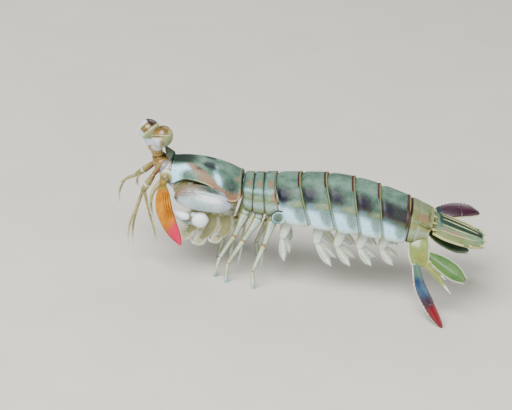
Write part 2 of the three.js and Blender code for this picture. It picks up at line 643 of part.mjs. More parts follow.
// Tail fan: each side has a base with a two-pronged process, an outer blade and an inner paddle.
// The left fan is spread down to the ground and the right fan is held level.
const fans = {
  left: {
    base: [point(36.2, -4.6, 17.6), point(36.1, -6.6, 15.2), point(36.9, -7.8, 12.0)],
    baseSizes: [[1.3, 0.8], [2.0, 0.8], [1.9, 0.7], [1.5, 0.6]],
    baseAcross: point(0.1, 1, -0.5),
    prongs: [[point(37.9, -7.8, 12.6), point(41.0, -8.2, 9.6), point(44.6, -8.6, 6.2)],
      [point(38.6, -7.6, 12.8), point(40.7, -8.0, 11.2), point(42.9, -8.3, 9.3)]],
    bladeWidths: [0.85, 1.25, 1.5, 1.5, 1.2, 0.5],
    blade: [
      point(35.9, -8.4, 11.7), point(37.6, -9.8, 7.4),
      point(40.8, -11.7, 3.2), point(43.6, -13.1, -0.25),
    ],
    bladeFace: point(0.45, -1, -0.45),
    paddle: [point(38.9, -6.9, 14.2), point(42.6, -7.7, 12.2), point(47.1, -8.3, 9.7)],
    paddleFace: point(0.35, -1, 0.55),
  },
  right: {
    base: [point(35.9, 4.6, 17.4), point(37.0, 6.1, 15.4), point(38.8, 7.4, 14.5)],
    baseSizes: [[1.3, 0.9], [1.6, 0.9], [1.6, 0.8], [1.2, 0.7]],
    baseAcross: point(0, 0.7, 0.7),
    prongs: [[point(38.9, 7.2, 14.4), point(42.6, 7.6, 13.6), point(46.5, 7.8, 12.4)],
      [point(38.9, 6.6, 14.2), point(41.4, 6.2, 13.4), point(43.8, 6.0, 12.7)]],
    bladeWidths: [0.9, 1.6, 1.95, 1.95, 1.5, 0.55],
    blade: [
      point(38.7, 8.6, 15.0), point(41.6, 9.9, 16.5),
      point(46.0, 10.9, 17.2), point(50.0, 11.3, 16.6),
    ],
    bladeFace: point(0, -0.35, 1),
    paddle: [point(38.7, 6.3, 13.3), point(43.0, 6.6, 11.1), point(48.6, 6.4, 9.4)],
    paddleFace: point(0.3, -0.6, 1),
  },
};
for (const [side, fan] of Object.entries(fans)) {
  const tailPlate = plate(telsonGrid(-clearance - 0.4), telsonGrid(telsonDepth + 0.6));
  const body = [somite(7, clearance), somite(8, clearance + 0.15), tailPlate];
  const stock = (grow = 0) => limb(fan.base, fan.baseSizes, {
    rings: 6, sides: 10, across: fan.baseAcross, grow,
  });
  const prong = (path, grow = 0) => limb(path, [[0.8, 0.4], [0.6, 0.36], [0.08, 0.08]], {
    rings: 5, sides: 6, across: fan.baseAcross, grow,
  });
  const pieces = [stock(), ...fan.prongs.map((path) => prong(path))];
  add('uropod_base_' + side, joined(pieces, body), finishes.fanBase);
  const blade = leaf(fan.blade, fan.bladeWidths, {
    face: fan.bladeFace, thickness: 0.75, cup: 0.1, rows: 12,
  });
  const clear = [stock(clearance), ...fan.prongs.map((path) => prong(path, clearance)), ...body];
  add('uropod_blade_' + side, joined([blade], [...clear, ground()]), finishes.fanBlade);
  const paddle = leaf(fan.paddle, [0.5, 1.3, 1.75, 1.7, 0.7], { face: fan.paddleFace, cup: 0.12, rows: 9 });
  add('uropod_paddle_' + side, joined([paddle], clear), finishes.fanPaddle);
}

// The origin is on the ground, under the middle of the whole animal
model.updateMatrixWorld(true);
const middle = new THREE.Box3().setFromObject(model).getCenter(point(0, 0, 0));
model.position.set(-middle.x, -middle.y, -groundHeight);

export default model;
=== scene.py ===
"""Looks of a life-size mantis shrimp that stands on its walking legs with its head raised.

Sizes are millimetres in the animal's own frame, with the head along -X and its left side along -Y.
The last step of each piece moves it into the packed model's frame and turns it into metres.
"""

import math

import bpy
import numpy as np
from mathutils import Matrix, Vector


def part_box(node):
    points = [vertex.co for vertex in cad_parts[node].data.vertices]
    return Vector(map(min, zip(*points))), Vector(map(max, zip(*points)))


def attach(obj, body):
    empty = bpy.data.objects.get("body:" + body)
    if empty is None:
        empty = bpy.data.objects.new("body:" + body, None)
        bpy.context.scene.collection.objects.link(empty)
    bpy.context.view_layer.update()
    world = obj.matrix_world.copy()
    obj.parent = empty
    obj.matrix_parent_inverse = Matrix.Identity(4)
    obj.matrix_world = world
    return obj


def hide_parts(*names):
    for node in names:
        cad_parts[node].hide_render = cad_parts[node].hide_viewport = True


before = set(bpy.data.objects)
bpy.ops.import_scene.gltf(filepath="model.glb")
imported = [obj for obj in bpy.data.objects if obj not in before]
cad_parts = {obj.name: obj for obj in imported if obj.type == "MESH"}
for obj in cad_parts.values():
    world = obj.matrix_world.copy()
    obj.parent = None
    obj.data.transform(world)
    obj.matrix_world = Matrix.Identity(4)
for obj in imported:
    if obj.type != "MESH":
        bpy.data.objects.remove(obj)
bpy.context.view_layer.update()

bl_info = {
    "name": "Mantis shrimp",
    "version": (1, 0, 0),
    "blender": (4, 5, 0),
    "location": "3D View > Sidebar > Shrimp",
    "description": "Builds the shell, limbs, eyes and tail fan of a mantis shrimp around its packed solids",
    "category": "Add Mesh",
}

SEED = 11
MM = 0.001
# Centre of the left eye, which ties the animal's own frame to the packed model's
EYE_ANCHOR = (-21.9, -2.6, 31.2)
SIDES = (("left", 1), ("right", -1))

# Bristles share one bake tile of this many cells a side
HAIR_CELLS = 64
# Radii at the roots of bristles, and how many stand on each edge
BRISTLE, FINE_BRISTLE, HAZE_BRISTLE, GILL_THREAD = 0.02, 0.018, 0.012, 0.022
WHIP_BRISTLES, SCALE_BRISTLES, JAW_FOOT_BRISTLES = 90, 900, 260
SWIMMERET_BRISTLES, GILL_THREADS = 420, 110
TELSON_BRISTLES, BLADE_BRISTLES, PADDLE_BRISTLES = 700, 700, 900

# Seams of the trunk: top X, top Z, hem X, hem Z, half width
SEAMS = np.array([
    (-3.4, 23.7, -2.7, 18.5, 5.8),
    (-1.3, 23.9, -0.7, 18.1, 6.1),
    (0.8, 24.2, 2.1, 18.0, 6.4),
    (3.4, 24.6, 5.3, 18.3, 6.7),
    (8.7, 25.5, 12.1, 17.0, 7.0),
    (14.4, 26.3, 17.8, 16.9, 7.1),
    (20.5, 26.2, 23.1, 16.9, 7.1),
    (26.3, 25.2, 28.1, 16.7, 7.0),
    (33.3, 23.3, 32.9, 16.2, 6.8),
    (38.7, 21.1, 37.2, 16.9, 6.0),
])
RINGS = (*("thorax_%d" % n for n in (6, 7, 8)), *("abdomen_%d" % n for n in range(1, 7)))
ARCH = 0.84
# How the first abdominal ring's front hem stands behind and below the last thoracic one
FIRST_HEM = np.array((0.0, 0.0, 1.1, -1.1, 0.2))
# The round lobe low on each flank of that ring
LOBE_CENTRE = np.array((5.15, 6.8, 18.0))
LOBE_SIZE = (1.7, 0.42, 1.65)
# How far across the sixth ring's spined ridges stand
RIDGES = (-5.3, -3.6, -1.5, 1.5, 3.6, 5.3)
RIDGE_PATH = ((35.2, 1, 22.1), (37.6, 0.97, 21.2), (39.5, 0.95, 20.7))


# Numbers and curves

def linear(code):
    """The linear colour of an sRGB hex code."""
    values = [int(code[i:i + 2], 16) / 255 for i in (1, 3, 5)]
    return tuple(v / 12.92 if v <= 0.04045 else ((v + 0.055) / 1.055) ** 2.4 for v in values)


def step(low, high, x):
    """Rises smoothly from 0 at low to 1 at high."""
    t = np.clip((np.asarray(x, float) - low) / (high - low), 0.0, 1.0)
    return t * t * (3.0 - 2.0 * t)


def bell(x, centre, width):
    """A rounded peak of height 1 that is half as high at about 0.8 of width from its centre."""
    return np.exp(-(((np.asarray(x, float) - centre) / width) ** 2))


def along(values, u):
    """A row of even stations read at shares u, on a smooth curve through them."""
    values = np.asarray(values, float)
    if values.ndim == 1:
        return along(values[:, None], u)[..., 0]
    last = len(values) - 1
    place = np.clip(np.asarray(u, float), 0.0, 1.0) * last
    i = np.minimum(place.astype(int), last - 1)
    t = (place - i)[..., None]
    a, b, c, d = (values[np.clip(i + k, 0, last)] for k in (-1, 0, 1, 2))
    v0, v1 = (c - a) / 2, (d - b) / 2
    return (2 * b - 2 * c + v0 + v1) * t**3 + (-3 * b + 3 * c - 2 * v0 - v1) * t**2 + v0 * t + b


def curve(points, u):
    """Points and unit tangents at shares u of the length of a centripetal Catmull-Rom curve."""
    p = np.asarray(points, float)
    q = np.vstack([2 * p[0] - p[1], p, 2 * p[-1] - p[-2]])
    gap = np.linalg.norm(np.diff(q, axis=0), axis=1) ** 0.5
    t = np.linspace(0.0, 1.0, 60)[:, None]
    pieces = []
    for i in range(1, len(q) - 2):
        a, b = q[i:i + 2]
        before, here, after = gap[i - 1:i + 2]
        va = ((a - q[i - 1]) / before - (b - q[i - 1]) / (before + here) + (b - a) / here) * here
        vb = ((b - a) / here - (q[i + 2] - a) / (here + after) + (q[i + 2] - b) / after) * here
        pieces.append(a + va * t + (3 * b - 3 * a - 2 * va - vb) * t**2 + (2 * a - 2 * b + va + vb) * t**3)
    fine = np.vstack([piece[:-1] for piece in pieces] + [pieces[-1][-1:]])
    length = np.concatenate([[0.0], np.cumsum(np.linalg.norm(np.diff(fine, axis=0), axis=1))])
    share = length / length[-1]
    read = lambda s: np.stack([np.interp(s, share, fine[:, k]) for k in range(3)], axis=-1)
    u = np.asarray(u, float)
    tangent = read(np.minimum(u + 0.004, 1.0)) - read(np.maximum(u - 0.004, 0.0))
    return read(u), tangent / np.linalg.norm(tangent, axis=-1, keepdims=True)


def frame_shift():
    """How far the packed model stands from the animal's own frame, level with the floor."""
    centre = np.add(*map(np.asarray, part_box("eye_left"))) / 2 / MM
    return (centre - EYE_ANCHOR) * (1, 1, 0)


def unit(v):
    """Vectors of length 1."""
    v = np.asarray(v, float)
    return v / np.linalg.norm(v, axis=-1, keepdims=True)


def level(points):
    """The points with none below the floor."""
    return np.stack([points[..., 0], points[..., 1], np.maximum(points[..., 2], 0.0)], axis=-1)


def turned(turn):
    """The matrix of turns about X, then Y, then Z of the turned axes."""
    a, b, c = turn
    x = np.array([[1, 0, 0], [0, math.cos(a), -math.sin(a)], [0, math.sin(a), math.cos(a)]])
    y = np.array([[math.cos(b), 0, math.sin(b)], [0, 1, 0], [-math.sin(b), 0, math.cos(b)]])
    z = np.array([[math.cos(c), -math.sin(c), 0], [math.sin(c), math.cos(c), 0], [0, 0, 1]])
    return x @ y @ z


class Patch:
    """A grid of points that closes on itself, with its share along u and its angle a.

    across runs from -1 to 1 between its two sides, and edge is 1 at both of them.
    """

    def __init__(self, points, u, a):
        self.points = points
        self.u = u
        self.a = a
        self.across = np.cos(a)
        self.edge = np.abs(self.across)


def sweep(path, sizes, rows=40, columns=20, across=(0, 1, 0), ends=(0.12, 0.12), cup=0.0, relief=None):
    """An oval carried along a smooth curve.

    sizes holds half height and half width at even stations. The ends round off over the given shares of the
    length. cup bends the oval's flanks back, and relief adds to its size by a function of share and angle.
    """
    even = np.linspace(0.0, 1.0, rows)
    u = 0.45 * (0.5 - 0.5 * np.cos(math.pi * even)) + 0.55 * even
    centre, tangent, side, up = blade_edge(path, u, across)
    size = along(sizes, u)
    head = np.sqrt(1 - (1 - np.clip(u / max(ends[0], 1e-6), 0, 1)) ** 2)
    tail = np.sqrt(1 - (1 - np.clip((1 - u) / max(ends[1], 1e-6), 0, 1)) ** 2)
    round_off = np.maximum(head * tail, 0.02)
    a = np.linspace(0.0, 2 * math.pi, columns, endpoint=False)
    uu, aa = np.meshgrid(u, a, indexing="ij")
    more = 0.0 if relief is None else relief(uu, aa)
    high = (size[:, :1] * round_off[:, None] + more) * np.cos(aa)
    wide = (size[:, 1:] * round_off[:, None] + more) * np.sin(aa)
    wide = wide - cup * size[:, :1] * round_off[:, None] * np.cos(aa) ** 2
    points = centre[:, None] + up[:, None] * high[..., None] + side[:, None] * wide[..., None]
    return Patch(points, uu, aa)


def blade_edge(path, u, face):
    """Points on a blade's midline, the tangents there, the face's normals, and the way to its edge."""
    spot, tangent = curve(path, u)
    face = np.asarray(face, float)
    normal = unit(face - tangent * (tangent @ face)[:, None])
    return spot, tangent, normal, np.cross(tangent, normal)


def plate(upper, lower, *shares):
    """A thin plate's two faces joined into one loop, with its angle and each share carried round it."""
    loop = np.concatenate([upper, lower[:, ::-1]], axis=1)
    angle = np.broadcast_to(np.linspace(0, 2 * math.pi, loop.shape[1], endpoint=False), loop.shape[:2])
    return loop, angle, *(np.concatenate([share, share[:, ::-1]], axis=1) for share in shares)


def plate_edge(u, v, reach):
    """How far each point of a plate lies from its nearest edge, as a share."""
    return np.minimum(1 - np.abs(v), np.minimum(u * reach, (1 - u) * reach))


def rounded(edge, reach):
    """From 0 at an edge to 1 at reach inside it, as a quarter circle."""
    return np.sqrt(np.clip(1 - (1 - np.clip(edge / reach, 0, 1)) ** 2, 0, 1))


def ball(centre, size, turn=(0, 0, 0), rows=32, columns=48):
    """An ellipsoid with its poles along its own Y axis, turned about its centre."""
    p = np.linspace(0.0, math.pi, rows)
    a = np.linspace(0.0, 2 * math.pi, columns, endpoint=False)
    pp, aa = np.meshgrid(p, a, indexing="ij")
    unit_ball = np.stack([np.sin(pp) * np.cos(aa), np.cos(pp), -np.sin(pp) * np.sin(aa)], axis=-1)
    return Patch((unit_ball * size) @ turned(turn).T + np.asarray(centre, float), pp / math.pi, aa)


class Sculpt:
    """The patches of one piece, with the amounts painted on their points."""

    def __init__(self):
        self.points = []
        self.quads = []
        self.tris = []
        self.slots = []
        self.tri_slots = []
        self.quad_uv = []
        self.tri_uv = []
        self.tiles = 0
        self.hair_count = 0
        self.paint = {}
        self.count = 0

    def _points(self, points, paint):
        """Adds points with their paint, with none of any paint that only other points carry."""
        flat = points.reshape(-1, 3)
        for name in set(self.paint) | set(paint):
            done = self.paint.setdefault(name, [])
            missing = self.count - sum(len(part) for part in done)
            if missing:
                done.append(np.zeros(missing))
            value = np.broadcast_to(np.asarray(paint.get(name, 0.0), float), points.shape[:-1])
            done.append(value.reshape(-1))
        self.points.append(flat)
        start = self.count
        self.count += len(flat)
        return start

    def add(self, patch, **paint):
        """Adds a closed patch with a fan over each end and its own bake tile, and returns the piece."""
        points = patch.points
        rows, columns = points.shape[:2]
        start = self._points(points, paint)
        i, j = np.divmod(np.arange((rows - 1) * columns), columns)
        k = (j + 1) % columns
        quads = np.stack([i * columns + j, i * columns + k, (i + 1) * columns + k, (i + 1) * columns + j],
                         axis=1)
        uv = np.stack([np.stack([i, i, i + 1, i + 1], axis=1) / (rows - 1),
                       np.stack([j, j + 1, j + 1, j], axis=1) / columns], axis=-1)
        flip = bool(self._volume(points.reshape(-1, 3)[quads]) < 0)
        self.quads.append((quads[:, ::-1] if flip else quads) + start)
        self.quad_uv.append((uv[:, ::-1] if flip else uv, self.tiles))
        self.slots.append(np.zeros(len(quads), int))
        ring = np.arange(columns)
        for row, away in ((0, False), (rows - 1, True)):
            hub_paint = {name: np.asarray(np.broadcast_to(value, points.shape[:-1]))[row, :1]
                         for name, value in paint.items()}
            hub = self._points(points[row].mean(axis=0)[None], hub_paint)
            fan = np.stack([row * columns + ring + start, row * columns + np.roll(ring, -1) + start,
                            np.full(columns, hub)], axis=1)
            share = 1.0 if away else 0.0
            uv = np.stack([np.broadcast_to((share, share, 1.03 * share - 0.015), (columns, 3)),
                           np.stack([ring, ring + 1, ring + 0.5], axis=1) / columns], axis=-1)
            turned_over = away == flip
            self.tris.append(fan[:, ::-1] if turned_over else fan)
            self.tri_uv.append((uv[:, ::-1] if turned_over else uv, self.tiles))
            self.tri_slots.append(np.zeros(columns, int))
        self.tiles += 1
        return self

    @staticmethod
    def _volume(corner):
        """Six times the volume inside the quads, below zero where they face inwards."""
        a, b, c, d = (corner[:, k] for k in range(4))
        return (a * np.cross(b, c)).sum() + (a * np.cross(c, d)).sum()

    def hairs(self, roots, directions, length, radius, droop=(0, 0, 0), segments=2):
        """Tapered three-sided hairs of the second material, each bent by droop towards its tip."""
        roots, directions = np.asarray(roots, float), unit(directions)
        count = len(roots)
        length = np.broadcast_to(np.asarray(length, float), (count,))
        t = np.linspace(0.0, 1.0, segments + 1)
        side = unit(np.cross(directions, (0.31, 0.22, 0.92)))
        other = np.cross(directions, side)
        spine = roots[:, None] + directions[:, None] * (length[:, None] * t)[..., None]
        spine = spine + np.asarray(droop, float) * (length[:, None] * t**2)[..., None]
        thick = radius * (1 - 0.82 * t)
        a = np.arange(3) * 2 * math.pi / 3
        around = side[:, None] * np.cos(a)[:, None] + other[:, None] * np.sin(a)[:, None]
        points = spine[:, :, None] + around[:, None] * thick[None, :, None, None]
        start = self._points(points, {"tip": t[None, :, None]})
        n, i, j = np.meshgrid(np.arange(count), np.arange(segments), np.arange(3), indexing="ij")
        k = (j + 1) % 3
        base = start + n * 3 * (segments + 1) + i * 3
        quads = np.stack([base + j, base + k, base + 3 + k, base + 3 + j], axis=-1)
        corner = np.array([(0, 0), (0, 1), (1, 1), (1, 0)])
        uv = self._cell(n)[..., None, :] + np.stack([(i[..., None] + corner[:, 0]) / (segments + 1),
                                                     (j[..., None] + corner[:, 1]) / 4], axis=-1) / HAIR_CELLS
        self.quads.append(quads.reshape(-1, 4))
        self.quad_uv.append((uv.reshape(-1, 4, 2), -1))
        self.slots.append(np.ones(quads.size // 4, int))
        ends = start + np.arange(count)[:, None] * 3 * (segments + 1)
        cell = self._cell(np.arange(count))[:, None]
        corner = np.array([(0, 0), (0.2, 0), (0, 0.2)])
        for order, shelf in (((0, 1, 2), 0.75), ((2, 1, 0), 0.0)):
            fan = ends + np.array(order) + (3 * segments if shelf else 0)
            self.tris.append(fan)
            self.tri_uv.append((cell + (corner + (segments / (segments + 1), shelf)) / HAIR_CELLS, -1))
            self.tri_slots.append(np.ones(count, int))
        self.hair_count += count

    def _cell(self, hair):
        """Where each hair's cell starts on the bristles' shared tile."""
        number = hair + self.hair_count
        return np.stack([number % HAIR_CELLS, number // HAIR_CELLS % HAIR_CELLS], axis=-1) / HAIR_CELLS

    def _bake_map(self):
        """Corner places on a square: one tile for each patch, and one shared tile for the bristles."""
        across = math.ceil(math.sqrt(self.tiles + 1))
        placed = []
        for uv, tile in self.quad_uv + self.tri_uv:
            tile = tile if tile >= 0 else self.tiles
            corner = np.array([tile % across, tile // across])
            placed.append(((0.03 + 0.94 * uv + corner) / across).reshape(-1, 2))
        return np.vstack(placed)

    def make(self, name, materials, nodes, slot):
        """One mesh object from all that was added, riding on the root in place of the named nodes."""
        points = level(np.vstack(self.points) + frame_shift()) * MM
        quads, tris = np.vstack(self.quads), np.vstack(self.tris)
        mesh = bpy.data.meshes.new(name)
        mesh.vertices.add(len(points))
        mesh.vertices.foreach_set("co", points.astype(np.float32).ravel())
        corners = np.concatenate([quads.ravel(), tris.ravel()]).astype(np.int32)
        mesh.loops.add(len(corners))
        mesh.loops.foreach_set("vertex_index", corners)
        starts = np.concatenate([np.arange(len(quads)) * 4, len(quads) * 4 + np.arange(len(tris)) * 3])
        mesh.polygons.add(len(starts))
        mesh.polygons.foreach_set("loop_start", starts.astype(np.int32))
        slots = np.concatenate(self.slots + self.tri_slots).astype(np.int32)
        mesh.polygons.foreach_set("material_index", slots)
        mesh.polygons.foreach_set("use_smooth", np.ones(len(starts), bool))
        mesh.update(calc_edges=True)
        layer = mesh.uv_layers.new(name="OFBake")
        layer.data.foreach_set("uv", self._bake_map().astype(np.float32).ravel())
        for key, parts in self.paint.items():
            values = np.concatenate(parts)
            values = np.concatenate([values, np.zeros(len(points) - len(values))])
            mesh.attributes.new(key, "FLOAT", "POINT").data.foreach_set("value", values.astype(np.float32))
        if mesh.validate():
            raise RuntimeError(name + " has faulty faces")
        for material in materials:
            mesh.materials.append(material)
        piece = bpy.data.objects.new(name, mesh)
        bpy.context.scene.collection.objects.link(piece)
        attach(piece, "root")
        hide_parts(*nodes)
        return piece


# Materials

# The power that deepens every base colour
DEPTH = 1.29
# Pigment dots, the depth of the shell's pits, and how deep light wanders below it
DOTS_PER_MM, DOT_COLOUR = 4.5, (0.10, 0.08, 0.06, 1.0)
PIT_DEPTH = 0.05 * MM
GLOW_DEPTH = 0.7 * MM
HAIR_TIP = (0.86, 0.88, 0.86, 1.0)


def node(tree, kind, inputs=None, **settings):
    """Adds a shader node with its settings, and links or sets its inputs."""
    made = tree.nodes.new(kind)
    for key, value in settings.items():
        setattr(made, key, value)
    for key, value in (inputs or {}).items():
        if isinstance(value, bpy.types.NodeSocket):
            tree.links.new(value, made.inputs[key])
        else:
            made.inputs[key].default_value = value
    return made


def rgba(colour):
    """A hex code or linear colour, deepened since the view lifts and greys the middle tones."""
    channels = linear(colour) if isinstance(colour, str) else colour[:3]
    return (*[channel ** DEPTH for channel in channels], 1.0)


def maths(tree, operation, *values, **settings):
    """The output of a Math node that works on the values in order."""
    return node(tree, "ShaderNodeMath", dict(enumerate(values)), operation=operation, **settings).outputs[0]


def ranged(tree, value, low, high, to_low=0.0, to_high=1.0, **settings):
    """A value's range from low to high spread over another."""
    spread = {"Value": value, "From Min": low, "From Max": high, "To Min": to_low, "To Max": to_high}
    return node(tree, "ShaderNodeMapRange", spread, **settings).outputs[0]


def blend(tree, factor, first, second):
    """One colour over another."""
    return node(tree, "ShaderNodeMix", {"Factor": factor, 6: first, 7: second}, data_type="RGBA").outputs[2]


def painted(tree, name):
    """The amount painted on the piece's points under a name."""
    return node(tree, "ShaderNodeAttribute", attribute_name=name).outputs["Fac"]


def empty_material(name):
    """A material without nodes, and its tree."""
    material = bpy.data.materials.get(name) or bpy.data.materials.new(name)
    material.use_nodes = True
    material.node_tree.nodes.clear()
    return material, material.node_tree


def surface(name, light, dark, layers, rough=0.38, coat=0.35, soft=0.2, bump=0.12, speckle=0.25,
            clear=0.0, mottling=0.22, coat_rough=0.22, gloss=0.4):
    """A shell-like finish: two mottled tones, painted layers with ragged edges, fine pits and a wet coat.

    layers holds (attribute, colour, strength, raggedness). clear is how see-through its paint "clear" is.
    """
    material, tree = empty_material(name)
    place = node(tree, "ShaderNodeTexCoord").outputs["Object"]

    def noise(per_mm, detail, roughness):
        return node(tree, "ShaderNodeTexNoise", {"Vector": place, "Scale": per_mm / MM, "Detail": detail,
                                                 "Roughness": roughness}).outputs["Fac"]

    wide, middle, fine = noise(0.32, 4.0, 0.6), noise(1.5, 5.0, 0.7), noise(7.0, 3.0, 0.6)
    colour = blend(tree, ranged(tree, wide, 0.35, 0.65), rgba(light), rgba(dark))
    for attribute, tone, strength, ragged in layers:
        amount = painted(tree, attribute)
        shaken = maths(tree, "ADD", amount, maths(tree, "MULTIPLY_ADD", middle, 2.0 * ragged, -ragged))
        edge = ranged(tree, shaken, 0.12, 0.85, 0.0, strength, interpolation_type="SMOOTHSTEP")
        inside = maths(tree, "MULTIPLY", amount, 12.0, use_clamp=True)
        colour = blend(tree, maths(tree, "MULTIPLY", edge, inside), colour, rgba(tone))
    dots = node(tree, "ShaderNodeTexVoronoi", {"Vector": place, "Scale": DOTS_PER_MM / MM})
    patchy = ranged(tree, middle, 0.42, 0.62, 0.0, speckle)
    dot = ranged(tree, dots.outputs["Distance"], 0.12, 0.3, 1.0, 0.0)
    dotted = maths(tree, "MULTIPLY", dot, patchy)
    mottle = ranged(tree, noise(3.2, 6.0, 0.75), 0.3, 0.7, 1.0 - mottling, 1.0 + mottling)
    base = node(tree, "ShaderNodeVectorMath", {0: blend(tree, dotted, colour, DOT_COLOUR), 1: mottle},
                operation="MULTIPLY").outputs[0]
    relief = maths(tree, "MULTIPLY_ADD", fine, 0.5, dotted)
    raised = node(tree, "ShaderNodeBump", {"Strength": bump, "Distance": PIT_DEPTH, "Height": relief})
    shader = node(tree, "ShaderNodeBsdfPrincipled", {
        "Base Color": base, "Roughness": ranged(tree, fine, 0.0, 1.0, rough - 0.1, rough + 0.12),
        "Normal": raised.outputs[0], "IOR": 1.5, "Specular IOR Level": gloss, "Coat Weight": coat,
        "Coat Roughness": coat_rough, "Subsurface Weight": soft, "Subsurface Radius": (1.0, 0.7, 0.5),
        "Subsurface Scale": GLOW_DEPTH})
    if clear:
        solid = maths(tree, "MULTIPLY_ADD", painted(tree, "clear"), -clear, 1.0)
        tree.links.new(solid, shader.inputs["Alpha"])
    node(tree, "ShaderNodeOutputMaterial", {"Surface": shader.outputs[0]})
    return material


def hair_material(name, colour, opacity):
    """Thin glassy bristles: pale, glossy and part see-through, so a fringe reads as a haze."""
    material, tree = empty_material(name)
    tip = painted(tree, "tip")
    shader = node(tree, "ShaderNodeBsdfPrincipled", {
        "Base Color": blend(tree, tip, rgba(colour), HAIR_TIP), "Roughness": 0.35, "IOR": 1.45,
        "Alpha": ranged(tree, tip, 0.0, 1.0, opacity, opacity * 0.45), "Subsurface Weight": 0.1,
        "Subsurface Scale": 0.1 * MM})
    node(tree, "ShaderNodeOutputMaterial", {"Surface": shader.outputs[0]})
    return material


def colour_property(name, code, description):
    """A colour of the panel, from its hex code."""
    return bpy.props.FloatVectorProperty(name=name, description=description, subtype="COLOR", size=3,
                                         min=0.0, max=1.0, default=linear(code))


class ShrimpSettings(bpy.types.PropertyGroup):
    """Colours that several pieces share, and the camera's distance."""

    teal: colour_property("Teal", "#789385", "Light tone of the back's shell")
    green: colour_property("Green", "#4f6b5e", "Darker tone of the back's shell")
    pale: colour_property("Pale", "#c3e8f6", "Blue-white of the lower flanks and the claws")
    olive: colour_property("Olive", "#8d8d50", "Yellow-green of edges and thin shell")
    violet: colour_property("Violet", "#352d33", "Brown-purple of the abdomen's bands")
    indigo: colour_property("Indigo", "#121536", "Blue-black of the darkest patches")
    crimson: colour_property("Crimson", "#440c1a", "Dark red of the bars at the seams")
    russet: colour_property("Russet", "#93765f", "Red-brown of the stripe on the head shield")
    cream: colour_property("Cream", "#cdc795", "Fine light borders")
    orange: colour_property("Orange", "#d19600", "Body of the antennal scales")
    pink: colour_property("Pink", "#cf2f63", "Tips of the antennal scales")
    gold: colour_property("Gold", "#93752a", "Upper half of the eyes and the base of their stalks")
    leaf_green: colour_property("Leaf green", "#6c8f54", "Inner paddles of the tail fan")
    deep_blue: colour_property("Deep blue", "#2e4b6e", "Near half of the outer tail blades")
    deep_red: colour_property("Deep red", "#860a20", "Far third of the outer tail blades")
    maroon: colour_property("Maroon", "#471a30", "Far blade of the tail fan")
    camera_distance: bpy.props.FloatProperty(
        name="Camera distance", description="From the camera to the animal", default=400 * MM, unit="LENGTH")


def settings():
    """The colours and sizes that the panel shows."""
    return bpy.context.scene.shrimp_settings


def shell_layers():
    """Markings of the back's shell, in the order in which they lie over each other."""
    s = settings()
    return (("pale", s.pale, 0.92, 0.3), ("smudge", "#7d8f86", 0.75, 0.3), ("olive", s.olive, 0.8, 0.25),
            ("russet", s.russet, 0.9, 0.4), ("bronze", "#6b4a17", 0.9, 0.3), ("violet", s.violet, 0.92, 0.4),
            ("slate", "#252b33", 0.9, 0.2), ("mossy", "#1c3026", 0.92, 0.35), ("dark", s.indigo, 0.96, 0.2),
            ("crimson", s.crimson, 0.95, 0.15), ("tan", "#8f8048", 0.9, 0.1), ("cream", s.cream, 0.9, 0.1),
            ("spot", "#7a2f2a", 0.75, 0.2), ("line", "#1d2420", 0.9, 0.1))


def shell_material():
    """Horny shell of the back: green and teal with fine speckles, as wet as in life."""
    s = settings()
    return surface("translucent_shell", s.teal, s.green, shell_layers(), rough=0.46, coat=0.05, soft=0.15,
                   speckle=0.55, mottling=0.4, gloss=0.18)


def limb_material():
    """Thin pale shell of the limbs: blue-white with yellow-green edges and orange joints."""
    s = settings()
    return surface("pale_limb_shell", "#d3dbcf", "#b4bf9f",
                   (("olive", s.olive, 0.85, 0.25), ("blue", "#9cc3d0", 0.8, 0.2),
                    ("orange", "#a8873a", 0.7, 0.3), ("dark", "#54553a", 0.7, 0.3)),
                   rough=0.34, coat=0.4, soft=0.4, speckle=0.35)


# Trunk

# A ring's section along its top: share of its length and height off the seams' arch
RING_PROFILE = np.array([
    (-0.02, -1.5), (-0.02, -0.66), (0.03, -0.5), (0.08, -0.28), (0.14, -0.12), (0.22, -0.04), (0.35, 0.0),
    (0.6, 0.0), (0.82, 0.0), (0.88, -0.07), (0.92, 0.0), (0.955, 0.05), (0.985, 0.04), (1.0, -0.06),
    (1.0, -0.24), (0.985, -0.42), (0.94, -0.5), (0.9, -0.9)])
# Its underside from hem to middle: share of the half width and height above the hem
RING_BELLY = np.array([
    (0.985, -0.1), (0.955, -0.14), (0.92, -0.04), (0.9, 0.6), (0.87, 1.5), (0.8, 2.2), (0.55, 2.3),
    (0.28, 2.0), (0.0, 1.9)])


